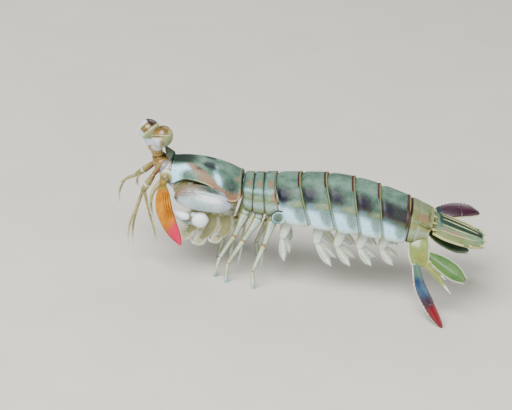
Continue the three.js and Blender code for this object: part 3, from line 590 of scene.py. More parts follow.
def trunk_patch(front, rear, hem_round):
    """One ring of shell: an arch between two seams, tucked in front, with a raised lip and rounded hems."""
    stations = np.arange(len(RING_PROFILE))
    rows = np.linspace(0, stations[-1], 72)
    u, off = (np.interp(rows, stations, RING_PROFILE[:, k]) for k in (0, 1))
    off = off[:, None]
    dome = np.linspace(0.0, math.pi, 97)
    belly = np.vstack([RING_BELLY, RING_BELLY[-2::-1] * (-1, 1)])
    seam = front + (rear - front) * u[:, None]
    top_x, top_z, hem_x, hem_z, half = (seam[:, k:k + 1] for k in range(5))
    ends = step(0.8, 1.0, u)[:, None], step(0.2, 0.0, u)[:, None]
    hem_z = hem_z + hem_round * (0.75 * ends[0] ** 2 + 0.5 * ends[1] ** 2 - 0.35)
    height = top_z - hem_z
    rise = np.sin(dome)[None] ** ARCH
    reach = (np.sign(np.cos(dome)) * np.abs(np.cos(dome)) ** ARCH)[None]
    z = (height + off) * rise
    arch = np.stack([hem_x + (top_x - hem_x) * z / height, -(half + off) * reach, hem_z + z], axis=-1)
    lift = belly[:, 1][None] * np.ones_like(off)
    under = np.stack([hem_x + (top_x - hem_x) * lift / height, (half + off) * belly[:, 0][None],
                      hem_z + lift], axis=-1)
    points = np.concatenate([arch, under], axis=1)
    down = np.concatenate([np.abs(dome - math.pi / 2) / (math.pi / 2), np.full(len(belly), 1.15)])
    down[len(dome):len(dome) + 2] = 1.0
    down[-2:] = 1.0
    angle = np.linspace(0.0, 2 * math.pi, points.shape[1], endpoint=False)
    uu, ss = np.meshgrid(u, down, indexing="ij")
    return points, uu, ss, np.broadcast_to(angle, uu.shape)


def thorax_paint(index, u, s, under):
    """The three narrow rings behind the head shield: red-brown spots on teal above, pale olive below."""
    last = index == 2
    shown = 1 - under
    return {
        "russet": bell(s, 0.29, 0.12) * bell(u, 0.62, 0.25)
        + 0.9 * last * bell(s, 0.62, 0.14) * bell(u, 0.8, 0.2),
        "olive": 0.5 * step(0.45, 0.75, s) * shown + 0.6 * under,
        "pale": 0.35 * bell(s, 0.5, 0.1) + 0.5 * bell(s, 0.85, 0.12) * shown,
        "violet": 0.8 * last * bell(s, 0.55, 0.15) * bell(u, 0.93, 0.08)
        + 0.4 * bell(s, 0.2, 0.1) * bell(u, 0.4, 0.2),
        "dark": 0.6 * bell(u, 0.12, 0.08) * step(0.6, 0.2, s),
        "crimson": 0.5 * step(0.42, 0.34, s) * bell(u, 0.9, 0.04),
        "line": 0.7 * bell(u, 0.955, 0.012) * step(0.3, 0.5, s) + 0.6 * bell(s, 0.995, 0.02) * shown,
        "tan": 0.95 * step(0.955, 0.975, u) * shown,
    }


def tail_ring_paint(u, s, under):
    """The sixth ring: pale olive with a dark red front line and pinkish panels between its ridges."""
    return {
        "olive": 0.55 + 0.25 * bell(s, 0.75, 0.25),
        "crimson": 0.95 * step(0.16, 0.06, u) * step(0.5, 0.35, s)
        + 0.6 * bell(u, 0.8, 0.06) * bell(s, 0.25, 0.16),
        "russet": 0.9 * bell(u, 0.6, 0.3) * bell(s, 0.38, 0.16)
        + 0.4 * bell(u, 0.3, 0.12) * bell(s, 0.7, 0.1),
        "pale": 0.6 * bell(s, 0.82, 0.14) + 0.5 * bell(u, 0.45, 0.04) + 0.4 * bell(s, 0.56, 0.03),
        "smudge": 0.6 * bell(s, 0.15, 0.1),
        "line": 0.8 * bell(u, 0.06, 0.025) + 0.5 * bell(s, 0.995, 0.02) * (1 - under),
        "cream": 0.95 * step(0.965, 0.985, u),
    }


# Bands of the first five abdominal rings: blue-black, brown-purple, its reach along the ring, and its depth
BANDS = {3: (1.25, 0.66, 0.85, 0.16), 4: (0.95, 0.7, 0.8, 0.12), 5: (0.85, 0.74, 0.8, 0.12),
         6: (0.85, 0.86, 0.92, 0.12), 7: (0.8, 1.0, 1.5, 0.13)}


def ring_paint(index, u, s):
    """Markings of one ring, from the share along it u and the share down its flank s."""
    under = step(1.02, 1.1, s)
    if index < 3:
        return thorax_paint(index, u, s, under)
    if index == 8:
        return tail_ring_paint(u, s, under)
    indigo, brown, reach, deep = BANDS[index]
    top = step(0.37, 0.3, s)
    shown = 1 - under
    low = step(0.62, 0.92, s) * shown
    return {
        "dark": indigo * bell(u, 0.2 if index == 3 else 0.26, 0.2)
        * bell(s, 0.5 + 0.03 * (index == 3), deep),
        "violet": brown * step(reach + 0.2, reach - 0.5, u) * bell(s, 0.48 + 0.03 * (index > 5), 0.25),
        "crimson": 1.1 * top * bell(u, 0.91, 0.042)
        + 0.9 * (index == 7) * bell(s, 0.58, 0.22) * step(0.75, 0.95, u),
        "olive": 0.6 * bell(s, 0.68, 0.07) * step(0.25, 0.5, u)
        + 0.9 * bell(u, 0.968, 0.013) * step(0.3, 0.42, s) + 0.6 * under,
        "pale": 1.05 * low * (0.5 + 0.6 * step(0.8, 0.2, u)) + 0.25 * bell(s, 0.66, 0.06),
        "smudge": 1.3 * bell(s, 0.855, 0.095) * bell(u, 0.72, 0.2)
        + 0.6 * bell(s, 0.27, 0.12) * bell(u, 0.65, 0.25),
        "spot": 0.6 * (index > 4) * bell(s, 0.6, 0.035) * bell(u, 0.22, 0.07),
        "tan": step(0.95, 0.965, u) * top + 0.6 * bell(u, 0.99, 0.012) * shown,
        "cream": 0.6 * bell(s, 0.985, 0.02) * shown,
        "line": 1.1 * bell(u, 0.94, 0.012) * (1 - 0.7 * top),
    }


def build_trunk():
    """Nine rings of shell between the head shield and the tail plate."""
    materials = [shell_material()]
    for index, name in enumerate(RINGS):
        piece = Sculpt()
        front, rear = SEAMS[index].copy(), SEAMS[index + 1]
        if name == "abdomen_1":
            front += FIRST_HEM
        points, u, s, angle = trunk_patch(front, rear, 0.4 if index < 3 else 1.0 if index < 8 else 0.0)
        flank = 0.09 * bell(s, 0.7, 0.035) - 0.06 * bell(s, 0.62, 0.05)
        flank = flank * step(0.02, 0.2, u) * step(0.98, 0.8, u)
        points = points + flank[..., None] * np.sign(points[..., 1:2]) * (0, 1, 0)
        piece.add(Patch(points, u, angle), **ring_paint(index, u, s))
        if name == "abdomen_1":
            for side in (-1, 1):
                lobe = ball(LOBE_CENTRE * (1, side, 1), LOBE_SIZE, (0, 0, -side * 0.2), 48, 64)
                right, _, above = np.moveaxis(lobe.points - LOBE_CENTRE, -1, 0)
                out = np.hypot(right / 1.68, above / 1.65)
                lobe.points = lobe.points + (0, side, 0) * (0.12 * bell(out, 0.9, 0.05))[..., None]
                piece.add(lobe, smudge=1.1 * step(0.74, 0.64, out), violet=0.4 * step(0.75, 0.3, out),
                          pale=0.85 * bell(out, 0.76, 0.06) + 0.9 * step(0.3, 1.0, right),
                          line=1.1 * step(0.9, 0.97, out) * step(1.2, 0.5, right))
        if name == "abdomen_6":
            for y in RIDGES:
                drop = 0.055 * y * y
                path = [(x, y * in_, z - drop) for x, in_, z in RIDGE_PATH]
                spine = sweep(path, [(0.3, 0.3), (0.42, 0.4), (0.08, 0.08)], 28, 14)
                piece.add(spine, cream=0.9 * step(0.6, 0.9, spine.u), olive=0.6,
                          crimson=0.5 * bell(spine.u, 0.55, 0.2))
        piece.make("shell_" + name, materials, [name], "thorax_shell" if index < 3 else "shell")


# Head shield

# The head shield's ends, its base line, and its top, half width and hem at even stations
CARAPACE = {
    "front": -19.3, "rear": -3.75, "base": 18.4,
    "top": (25.8, 26.1, 26.1, 25.7, 24.9, 23.8), "half": (3.9, 5.2, 6.0, 6.5, 6.8, 6.6),
    "hem": (20.6, 22.6, 22.8, 22.1, 19.9, 19.8),
}
ROSTRAL_PLATE = ([(-18.9, 0, 26.2), (-20.3, 0, 27.1), (-21.2, 0, 27.9)],
                 [(2.3, 0.25), (2.0, 0.25), (0.45, 0.2)])
CARAPACE_THICK = 0.55
# How far the rear margin bows back at the sides, and how far its lower corners round up
REAR_LEAN = 0.55
CORNER_RISE = 1.2


def carapace_point(u, v, depth):
    """A point of the head shield: u from front to rear, v from the left hem at -1 to the right at 1."""
    height = along(CARAPACE["top"], u) - CARAPACE["base"]
    half = along(CARAPACE["half"], u)
    low = along(CARAPACE["hem"], u) + CORNER_RISE * step(0.86, 1.0, u) ** 3
    hem = np.arcsin(((low - CARAPACE["base"]) / height) ** (1 / ARCH))
    angle = hem + (math.pi - 2 * hem) * (v + 1) / 2
    reach = np.sign(np.cos(angle)) * np.abs(np.cos(angle)) ** ARCH
    x = CARAPACE["front"] + (CARAPACE["rear"] - CARAPACE["front"]) * u
    x = x + REAR_LEAN * u**4 * (1 - np.sin(angle) ** 2)
    z = CARAPACE["base"] + (height - depth) * np.sin(angle) ** ARCH
    return np.stack([x, -(half - depth) * reach, z], axis=-1)


def build_carapace():
    """The head shield: a thin arched plate with a rolled margin, two grooves, and its stripe and spots."""
    rows, columns = 120, 150
    share = np.linspace(0.0, 1.0, rows)
    u = 0.5 - 0.5 * np.cos(math.pi * share) * 0.6 - 0.2 * (1 - 2 * share)
    u = (u - u[0]) / (u[-1] - u[0])
    v = np.sin(np.linspace(-math.pi / 2, math.pi / 2, columns))
    uu, vv = np.meshgrid(u, v, indexing="ij")
    edge = plate_edge(uu, vv, 1.6)
    body = rounded(edge, 0.025)
    groove = (0.06 * bell(np.abs(vv), 0.3, 0.03) * step(0.05, 0.2, uu) * step(0.97, 0.8, uu)
              + 0.05 * bell(uu, 0.62, 0.03) * bell(np.abs(vv), 0.2, 0.2))
    rim = 0.08 * bell(edge, 0.035, 0.018)
    half = CARAPACE_THICK / 2 * (1 - body)
    upper = carapace_point(uu, vv, half + groove - rim)
    lower = carapace_point(uu, vv, CARAPACE_THICK - half)
    loop, a, ub, vb, near = plate(upper, lower, uu, vv, edge)
    side = np.abs(vb)
    stripe = 0.48 + 1.15 * (ub - 0.3)
    paint = {
        "mossy": 1.1 * step(0.5, 0.15, ub) * step(0.55, 0.12, side),
        "slate": 1.2 * bell(ub, 0.53, 0.1) * bell(side, 0.24, 0.17),
        "russet": 1.2 * bell(side, np.minimum(stripe, 0.9), 0.15) * step(0.12, 0.34, ub)
        + 0.6 * bell(ub, 0.93, 0.06) * bell(side, 0.3, 0.14)
        + 0.7 * bell(side, 0.87, 0.08) * step(0.25, 0.5, ub),
        "violet": 0.62 * bell(ub, 0.86, 0.13) * bell(side, 0.6, 0.28)
        + 0.6 * bell(ub, 0.4, 0.08) * bell(side, 0.5, 0.12),
        "pale": 0.95 * step(0.26, 0.04, ub) * step(0.3, 0.6, side)
        + 0.75 * bell(ub - 0.12 * (side - 0.6), 0.67, 0.07) * bell(side, 0.6, 0.22)
        + 0.75 * bell(ub, 0.24, 0.1) * bell(side, 0.5, 0.18)
        + 0.4 * bell(ub, 0.62, 0.05) * bell(side, 0.2, 0.1),
        "smudge": 0.5 * bell(ub, 0.35, 0.12) * bell(side, 0.72, 0.1),
        "olive": 0.5 * bell(near, 0.03, 0.015) * step(0.5, 0.8, side),
        "cream": 0.55 * bell(near, 0.06, 0.02) * step(0.8, 0.9, side) * step(0.2, 0.4, ub),
        "tan": 0.55 * bell(near, 0.05, 0.015) * step(0.5, 0.9, ub),
        "line": 1.1 * bell(near, 0.004, 0.014),
        "spot": 0.3 * bell(ub, 0.93, 0.03) * bell(side, 0.35, 0.15),
    }
    Sculpt().add(Patch(loop, ub, a), **paint).make("head_shield", [shell_material()], ["carapace"], "shell")
    leaf = sweep(*ROSTRAL_PLATE, 40, 40, across=(0, 0, 1), ends=(0.05, 0.2), cup=0.3)
    rostrum = Sculpt().add(leaf, mossy=0.8 * step(0.35, 0.1, leaf.u), bronze=0.5 * step(0.1, 0.35, leaf.u),
                           olive=0.5 * step(0.9, 0.99, leaf.edge))
    rostrum.make("rostral_plate_shell", [shell_material()], ["rostral_plate"], "shell")


# Underside and head

# Each swelling of the skin: its path and its half height and half width at even stations
SKIN = {
    "chest": ([(-18.7, 0, 22.6), (-15, 0, 20.4), (-10, 0, 19.4), (-3.8, 0, 18.9)],
              [(2.1, 2.3), (4.0, 3.7), (4.8, 3.9), (4.9, 4.0), (4.5, 4.1), (3.9, 4.3)]),
    "crop": ([(-14.2, 0, 16.0), (-10.5, 0, 14.9), (-4.2, 0, 15.6)],
             [(1.6, 2.0), (2.4, 2.9), (2.3, 3.2), (1.6, 3.0)]),
    "head": ([(-19.1, 0, 22.7), (-20.8, 0, 23.4), (-22.2, 0, 25.0), (-22.9, 0, 26.6)],
             [(1.9, 2.4), (2.3, 2.6), (1.7, 2.0), (0.8, 1.2)]),
    "belly": ([(-3.6, 0, 20.6), (8, 0, 21.2), (20, 0, 21.8), (30, 0, 20.6), (38.4, 0, 18.9)],
              [(1.8, 4.6), (2.4, 5.4), (2.6, 5.6), (2.6, 5.4), (1.2, 4.4)]),
}


def build_skin():
    """One skin from the face along the chest to the tail, swollen between the limbs and finely wrinkled."""
    s = settings()
    skin = surface("soft_underside", "#a9a878", "#8a8c58",
                   (("pale", "#e6e6dc", 0.85, 0.25), ("gold", s.gold, 0.9, 0.3),
                    # dark is painted shade on the head's upper rear face, beside the eyes' gold base under
                    # the rostral plate
                    ("violet", "#9a8fae", 0.7, 0.3), ("dark", "#4a3a20", 0.85, 0.35),
                    ("shade", "#4f5a35", 0.8, 0.3), ("orange", "#a87c3c", 0.85, 0.3)),
                   rough=0.4, coat=0.3, soft=0.5, speckle=0.3)
    wrinkled = lambda u, a: 0.12 * np.sin(u * 40 + 1.2 * np.cos(a)) * step(-0.2, -0.9, np.cos(a))
    creased = lambda u, a: 0.07 * np.sin(u * 44) * step(0.3, -0.3, np.cos(a))
    ringed = lambda u, a: 0.08 * np.sin(u * 34) - 0.1 * bell(u, 0.55, 0.05)
    folded = lambda u, a: 0.1 * np.sin(u * 46) * (0.5 + 0.5 * np.cos(a)) * step(0.1, 0.3, u)
    chest = sweep(*SKIN["chest"], 90, 64, ends=(0.02, 0.03), relief=wrinkled)
    crop = sweep(*SKIN["crop"], 70, 48, ends=(0.2, 0.2), relief=creased)
    head = sweep(*SKIN["head"], 72, 56, ends=(0.02, 0.2), relief=ringed)
    belly = sweep(*SKIN["belly"], 110, 40, ends=(0.02, 0.02), relief=folded)
    piece = Sculpt()
    piece.add(chest, pale=0.6 * step(0.3, -0.6, np.sin(chest.u * 40)),
              shade=0.8 * step(0.0, 0.7, chest.across))
    piece.add(crop, pale=0.45 * step(0.2, -0.6, np.sin(crop.u * 44)))
    piece.add(head, gold=step(0.55, 0.75, head.u), violet=0.8 * bell(head.u, 0.42, 0.16),
              pale=0.8 * step(0.5, 0.2, head.u), orange=0.6 * bell(head.u, 0.62, 0.08),
              # dark here is painted shade on the upper rear face, under the rostral plate
              dark=0.9 * step(0.45, 0.75, head.u) * step(-0.5, -0.95, head.across))
    piece.add(belly, pale=0.4)
    piece.make("body_skin", [skin], ["thorax", "head"], "underside")


# Eyes

# Each eye's centre, the root of its stalk, its turn, the axis across its band and the way it looks
EYES = {
    "left": {"centre": EYE_ANCHOR, "root": (-22.7, -0.9, 26.3), "turn": (0.35, 0.5, 0.25),
             "band": (-0.08, 0.48, 0.87), "gaze": (0.0, -0.89, 0.45)},
    "right": {"centre": (-25.1, 2.6, 29.9), "root": (-23.1, 1.0, 26.1), "turn": (-0.35, -0.9, -0.2),
              "band": (-0.75, 0.3, 0.58), "gaze": (0.0, -0.89, 0.45)},
}
EYE_SIZE = (2.3, 2.3, 2.55)
STALK_SIZES = [(1.2, 1.15), (1.3, 1.3), (1.8, 1.75)]


def eye_paint(side, height, ahead, off):
    """An eye's markings, from each point's height over its band, share ahead and place off to the side."""
    def spot(h, o, rh, ro):
        return step(1.25, 0.75, np.hypot((height - h) / rh, (off - o) / ro)) * (ahead > 0)

    if side == "left":
        return {
            "gold": step(-0.02, 0.1, height) * step(0.75, 0.3, off),
            "tan": 0.8 * bell(height, 0.25, 0.18) * step(0.3, -0.3, off),
            "white": 0.75 * step(-0.1, -0.35, height) * step(0.1, -0.35, off) + 0.6 * step(0.0, -0.4, ahead),
            "green": step(-0.1, 0.45, off) * step(0.35, -0.05, height),
            # rim: a light line along the band, and a painted highlight, a small pale glint low on the eye's
            # front
            "rim": 0.9 * bell(height, 0.045, 0.022) + 0.9 * spot(-0.33, -0.1, 0.05, 0.2),
            "brown": 0.9 * bell(height, -0.06, 0.05) * step(0.25, 0.0, off)
            + 0.4 * spot(-0.7, 0.1, 0.25, 0.25) + 0.5 * step(0.8, 0.95, height),
            "black": spot(0.75, -0.17, 0.06, 0.06) + spot(-0.3, 0.13, 0.03, 0.05),
        }
    strokes = step(0.0, 0.9, np.sin(off * 22 + 4 * height)) * bell(height, 0.22, 0.06)
    return {
        "gold": 1.05 * step(-0.02, 0.16, height) * step(0.75, 0.4, height) * step(-0.85, -0.45, off),
        "tan": 0.8 * bell(height, 0.35, 0.12) * step(0.4, 0.0, off),
        "white": 0.85 * step(0.5, 0.8, height) + 0.8 * step(-0.4, -0.8, off) + 0.6 * step(0.0, -0.4, ahead),
        "green": 0.8 * step(-0.05, -0.15, height),
        "rim": 0.8 * bell(height, -0.08, 0.04),
        "brown": step(0.15, 0.55, off) * step(-0.02, 0.15, height)
        + 0.5 * strokes * step(-0.6, -0.4, off) * step(0.4, 0.2, off),
        "blue": 0.95 * bell(height, 0.0, 0.03) * step(-0.5, -0.2, off),
        "black": 0.9 * step(0.6, 0.8, off) * step(0.0, 0.15, height) + spot(0.5, 0.2, 0.06, 0.05),
    }


def build_eyes():
    """Two globes with a band across the middle and dark false pupils, each on its cupped stalk."""
    cornea = surface("clear_cornea", "#b3ac88", "#968f68",
                     (("gold", "#75602f", 0.95, 0.25), ("tan", "#96804a", 0.8, 0.3),
                      ("white", "#d3dae4", 0.9, 0.2), ("green", "#8f9a72", 0.85, 0.25),
                      # rim is a pale line along the band, and on the near eye also a painted highlight
                      ("rim", "#e6dfae", 0.85, 0.05), ("brown", "#3a220c", 0.95, 0.2),
                      ("blue", "#101c30", 0.95, 0.1), ("black", "#080503", 0.97, 0.04)),
                     rough=0.32, coat=0.35, soft=0.15, bump=0.04, speckle=0.2, coat_rough=0.12)
    stalk_finish = surface("stalk_shell", "#cfd8de", "#b2bec6",
                           (("gold", "#a08230", 0.95, 0.3), ("brown", "#3f2a0e", 0.9, 0.3)),
                           rough=0.35, coat=0.4, soft=0.3)
    for side, eye in EYES.items():
        centre, root = np.array(eye["centre"]), np.array(eye["root"])
        globe = ball(centre, EYE_SIZE, eye["turn"], 120, 160)
        d = unit(globe.points - centre)
        band, gaze = unit(eye["band"]), np.array(eye["gaze"])
        gaze = unit(gaze - band * (gaze @ band))
        height, ahead, off = d @ band, d @ gaze, d @ np.cross(band, gaze)
        seam = bell(height, 0.05, 0.022) + bell(height, -0.09, 0.022)
        globe.points = globe.points - d * (0.045 * seam)[..., None]
        paint = eye_paint(side, height, ahead, off)
        Sculpt().add(globe, **paint).make("eye_globe_" + side, [cornea], ["eye_" + side], "cornea")
        heel = root + (centre - root) * 0.45 + (-0.5, 0, 0)
        cup = sweep([root, heel, centre + (root - centre) * 0.12], STALK_SIZES, 60, 40, ends=(0.02, 0.05),
                    relief=lambda u, a: 0.06 * np.sin(u * 30) * step(0.5, 0.2, u))
        stem = Sculpt().add(cup, gold=1.1 * step(0.5, 0.3, cup.u),
                            brown=0.9 * step(0.3, 0.1, cup.u) * step(-0.2, 0.6, np.sin(cup.a)))
        stem.make("eye_stalk_" + side, [stalk_finish], ["eyestalk_" + side], "eyestalk")


# Feelers

ANTENNULES = {
    "left": {
        "stem": [(-21.6, -1.6, 24.2), (-23.1, -2.7, 21.4), (-24.3, -3.1, 18.9), (-24.9, -3.2, 17.4)],
        "threads": [
            [(-24.8, -3.5, 17.8), (-25.7, -4.0, 14.4), (-26.8, -4.3, 9.2), (-26.6, -4.4, 4.6)],
            [(-24.8, -3.0, 17.8), (-25.4, -2.7, 14.4), (-26.1, -2.4, 9.0), (-25.8, -2.2, 3.4)],
            [(-24.4, -3.3, 18.0), (-22.9, -3.7, 13.4), (-21.2, -3.9, 8.8), (-19.8, -4.1, 4.4)]],
    },
    "right": {
        "stem": [(-21.8, 1.6, 24.0), (-23.8, 2.4, 21.7), (-25.6, 2.7, 20.0), (-27.2, 2.9, 18.4)],
        "threads": [
            [(-26.6, 2.8, 18.8), (-28.2, 2.7, 17.8), (-29.6, 2.6, 17.0), (-31.0, 2.5, 16.1)],
            [(-27.0, 3.0, 18.5), (-29.2, 3.4, 16.9), (-30.3, 3.6, 13.8), (-30.2, 3.8, 10.7)],
            [(-25.6, 2.7, 19.8), (-26.6, 2.2, 18.2), (-26.4, 1.9, 16.9), (-25.7, 1.7, 16.0)]],
    },
}
ANTENNA_BASE = np.array([(-19.8, -1.9, 22.4), (-20.1, -3.7, 22.3), (-20.3, -5.3, 21.8)])
ANTENNA_THREADS = {
    "left": [(-20.6, -4.6, 21.6), (-22.2, -5.2, 19.6), (-22.6, -5.3, 16.6), (-21.4, -5.3, 11.9)],
    "right": [(-20.6, 4.6, 21.6), (-23.2, 5.6, 21.0), (-26.0, 6.4, 18.4), (-27.4, 6.9, 14.2)],
}
SCALES = {
    "left": {"midline": [(-20.4, -6.1, 21.9), (-19.7, -7.6, 16.8), (-17.6, -8.1, 12.4), (-14.9, -8.3, 8.7)],
             "face": (-0.35, -1, 0.1)},
    "right": {"midline": [(-20.1, 6.1, 21.8), (-17.6, 8.3, 18.4), (-14.4, 9.1, 15.0), (-10.2, 9.6, 11.4)],
              "face": (-0.2, 1, 0.3)},
}
SCALE_WIDTHS = (0.65, 1.6, 1.95, 2.0, 1.8, 1.35, 0.4)
STEM_SIZES = [(0.72, 0.78), (0.56, 0.6), (0.76, 0.76), (0.52, 0.52)]
SOCKET_SIZES = [(1.4, 1.4), (1.35, 1.3), (1.15, 1.05)]


def feeler_material():
    """Thin feeler shell: straw-yellow with brown and orange near the head and clear tips."""
    return surface("feeler_shell", "#bdb585", "#918b58",
                   (("brown", "#7a3f10", 0.95, 0.35), ("pale", "#d5dfd6", 0.85, 0.2),
                    ("olive", "#6d7038", 0.85, 0.3)), rough=0.34, coat=0.4, soft=0.4, speckle=0.5)


def thread(piece, path, thick, rings):
    """A feeler's whip, with a swelling at each of its many short joints."""
    whip = sweep(path, [(size, size) for size in thick], 160, 12, ends=(0.01, 0.02),
                 relief=lambda u, a: 0.035 * np.abs(np.sin(u * rings * math.pi)) - 0.02)
    joint = np.abs(np.sin(whip.u * rings * math.pi))
    piece.add(whip, olive=0.7 * step(0.35, 0.1, joint) * step(1.0, 0.5, whip.u),
              pale=0.8 * step(0.5, 1.0, whip.u), brown=0.35 * step(0.25, 0.0, whip.u))


def build_feelers():
    """Antennules with three whips each, and antennae with one whip and a broad orange scale each."""
    s = settings()
    finish = feeler_material()
    bristle = hair_material("feeler_bristles", "#dcd9b6", 0.7)
    rng = np.random.default_rng(SEED)
    knuckles = lambda u, a: -0.16 * (bell(u, 0.36, 0.02) + bell(u, 0.7, 0.02)) + 0.06 * bell(u, 0.66, 0.03)
    for side, parts in ANTENNULES.items():
        base = sweep(parts["stem"], STEM_SIZES, 90, 28, ends=(0.02, 0.1), relief=knuckles)
        shade = (1.15 if side == "right" else 0.9) * (0.7 + 0.3 * base.across)
        piece = Sculpt().add(base, brown=shade * step(0.8, 0.3, base.u), olive=0.6 * bell(base.u, 0.9, 0.15),
                             pale=0.7 * bell(base.u, 0.7, 0.04))
        for path in parts["threads"]:
            thread(piece, path, (0.36, 0.26, 0.24, 0.12), 34)
            roots, tangent = curve(path, rng.uniform(0.1, 0.98, WHIP_BRISTLES))
            out = unit(rng.normal(size=(WHIP_BRISTLES, 3)))
            piece.hairs(roots, out + tangent * 0.8, rng.uniform(0.25, 0.5, WHIP_BRISTLES), FINE_BRISTLE)
        piece.make("feeler_inner_" + side, [finish, bristle], ["antennule_" + side], "feeler")

    blade_finish = surface("antennal_scale_shell", s.orange, "#a96c00",
                           (("pink", s.pink, 0.96, 0.35), ("brown", "#54380f", 0.85, 0.4),
                            ("olive", "#8f8040", 0.9, 0.3), ("purple", "#4a1430", 0.95, 0.12),
                            ("cream", "#d9b070", 0.85, 0.1)),
                           rough=0.42, coat=0.1, soft=0.03, speckle=0.55, gloss=0.2)
    socket = lambda u, a: -0.14 * bell(u, 0.45, 0.03) + 0.07 * bell(u, 0.55, 0.05)
    ribs = lambda u, a: (0.03 * bell(np.cos(a), 0.0, 0.05)
                         + 0.012 * np.sin(np.cos(a) * 60) * step(0.02, 0.2, u))
    for side, mirror in SIDES:
        base = sweep(ANTENNA_BASE * (1, mirror, 1), SOCKET_SIZES, 60, 36, across=(1, 0, 0), ends=(0.03, 0.25),
                     relief=socket)
        piece = Sculpt().add(base, pale=0.8 * bell(base.u, 0.4, 0.2), olive=0.5 * step(0.4, 0.8, base.u),
                             brown=0.5 * bell(base.u, 0.85, 0.12))
        thread(piece, ANTENNA_THREADS[side], (0.75, 0.42, 0.26, 0.12), 30)
        piece.make("feeler_outer_" + side, [finish], ["antenna_" + side], "feeler")
        midline, face = SCALES[side]["midline"], SCALES[side]["face"]
        blade = sweep(midline, [(w, 0.26) for w in SCALE_WIDTHS], 130, 72, across=face, ends=(0.02, 0.06),
                      cup=0.15, relief=ribs)
        across, u = blade.across * mirror, blade.u
        streaks = (0.45 + 0.35 * np.sin(across * 24)) * step(0.4, -0.4, across)
        scale = Sculpt().add(
            blade, pink=1.1 * step(0.5, 0.88, u - 0.08 * across), purple=0.9 * step(-0.9, -0.985, across),
            brown=streaks * step(0.7, 0.3, u) * step(0.03, 0.2, u), olive=step(0.16, 0.04, u),
            cream=0.9 * bell(across, 0.96, 0.05) * step(0.1, 0.25, u))
        scale.add(ball(midline[0], (0.8, 0.6, 0.8), rows=24, columns=32), olive=0.9)
        edge_u = rng.uniform(0.08, 0.97, SCALE_BRISTLES)
        spot, tangent, normal, outward = blade_edge(midline, edge_u, face)
        outward = outward * np.sign(rng.uniform(-1, 1, SCALE_BRISTLES))[:, None]
        reach = along(SCALE_WIDTHS, edge_u)[:, None]
        scale.hairs(spot + outward * reach * 0.97 - normal * 0.15 * reach, outward + tangent * 0.6,
                    rng.uniform(0.25, 0.45, SCALE_BRISTLES), BRISTLE)
        scale.make("antennal_blade_" + side, [blade_finish, bristle], ["antennal_scale_" + side], "scale")


# Claws and jaw feet

# Each part's path and its half height and half width at even stations
CLAW = {
    "merus": ([(-17.7, -6.0, 18.9), (-14.5, -6.3, 19.7), (-10.5, -6.3, 19.6), (-5.2, -5.7, 18.4)],
              [(0.9, 0.7), (2.5, 1.5), (2.95, 1.7), (3.0, 1.75), (2.8, 1.65), (2.4, 1.4), (1.0, 0.7)]),
    "wrist": ([(-18.3, -5.9, 17.6), (-19.0, -5.9, 16.8), (-18.6, -6.0, 15.6)],
              [(0.7, 0.8), (1.15, 1.1), (0.8, 0.85)]),
    "hand": ([(-17.6, -6.1, 15.2), (-15.8, -6.2, 14.8), (-13.9, -6.2, 14.8)],
             [(0.75, 0.75), (1.0, 0.9), (0.95, 0.85), (0.7, 0.7)]),
    "club": ([(-13.3, -6.2, 14.9), (-11.6, -6.2, 14.5), (-9.7, -6.1, 14.5)],
             [(0.9, 0.8), (1.6, 1.3), (1.85, 1.45), (1.6, 1.2), (0.8, 0.7)]),
    "spike": ([(-11.8, -5.6, 13.2), (-13.6, -5.0, 12.9), (-15.6, -4.9, 13.2), (-17.4, -5.0, 13.6)],
              [(0.7, 0.6), (0.5, 0.42), (0.35, 0.3), (0.08, 0.08)]),
    "hip": ([(-6.9, -4.9, 17.4), (-6.2, -3.8, 16.4), (-5.6, -2.8, 16.0)],
            [(1.0, 1.0), (1.1, 1.1), (1.1, 1.1)]),
}
CLUB_HEEL = (-12.9, -6.2, 15.4)
# Each limb's path, and the half width and half height of its end plate
JAW_FEET = {
    "maxilliped_3": ([(-12.4, -2.4, 15.8), (-12.6, -3.4, 12.2), (-14.2, -3.5, 9.4)], (1.45, 1.95)),
    "maxilliped_4": ([(-9.5, -2.3, 15.4), (-9.2, -3.2, 11.6), (-11.1, -3.3, 8.2)], (1.3, 1.75)),
    "maxilliped_5": ([(-6.8, -2.2, 15.4), (-5.9, -3.0, 11.8), (-7.5, -3.2, 9.0)], (1.1, 1.5)),
}
ARM_SIZES = [(1.5, 0.6), (1.75, 0.42), (1.3, 0.34), (0.7, 0.3)]
HOOK_SIZES = [(0.3, 0.3), (0.26, 0.26), (0.06, 0.06)]


def claw_sweep(part, mirror, **options):
    """One part of a claw, on the left at mirror 1 and on the right at -1."""
    path, sizes = CLAW[part]
    return sweep(np.array(path) * (1, mirror, 1), sizes, **options)


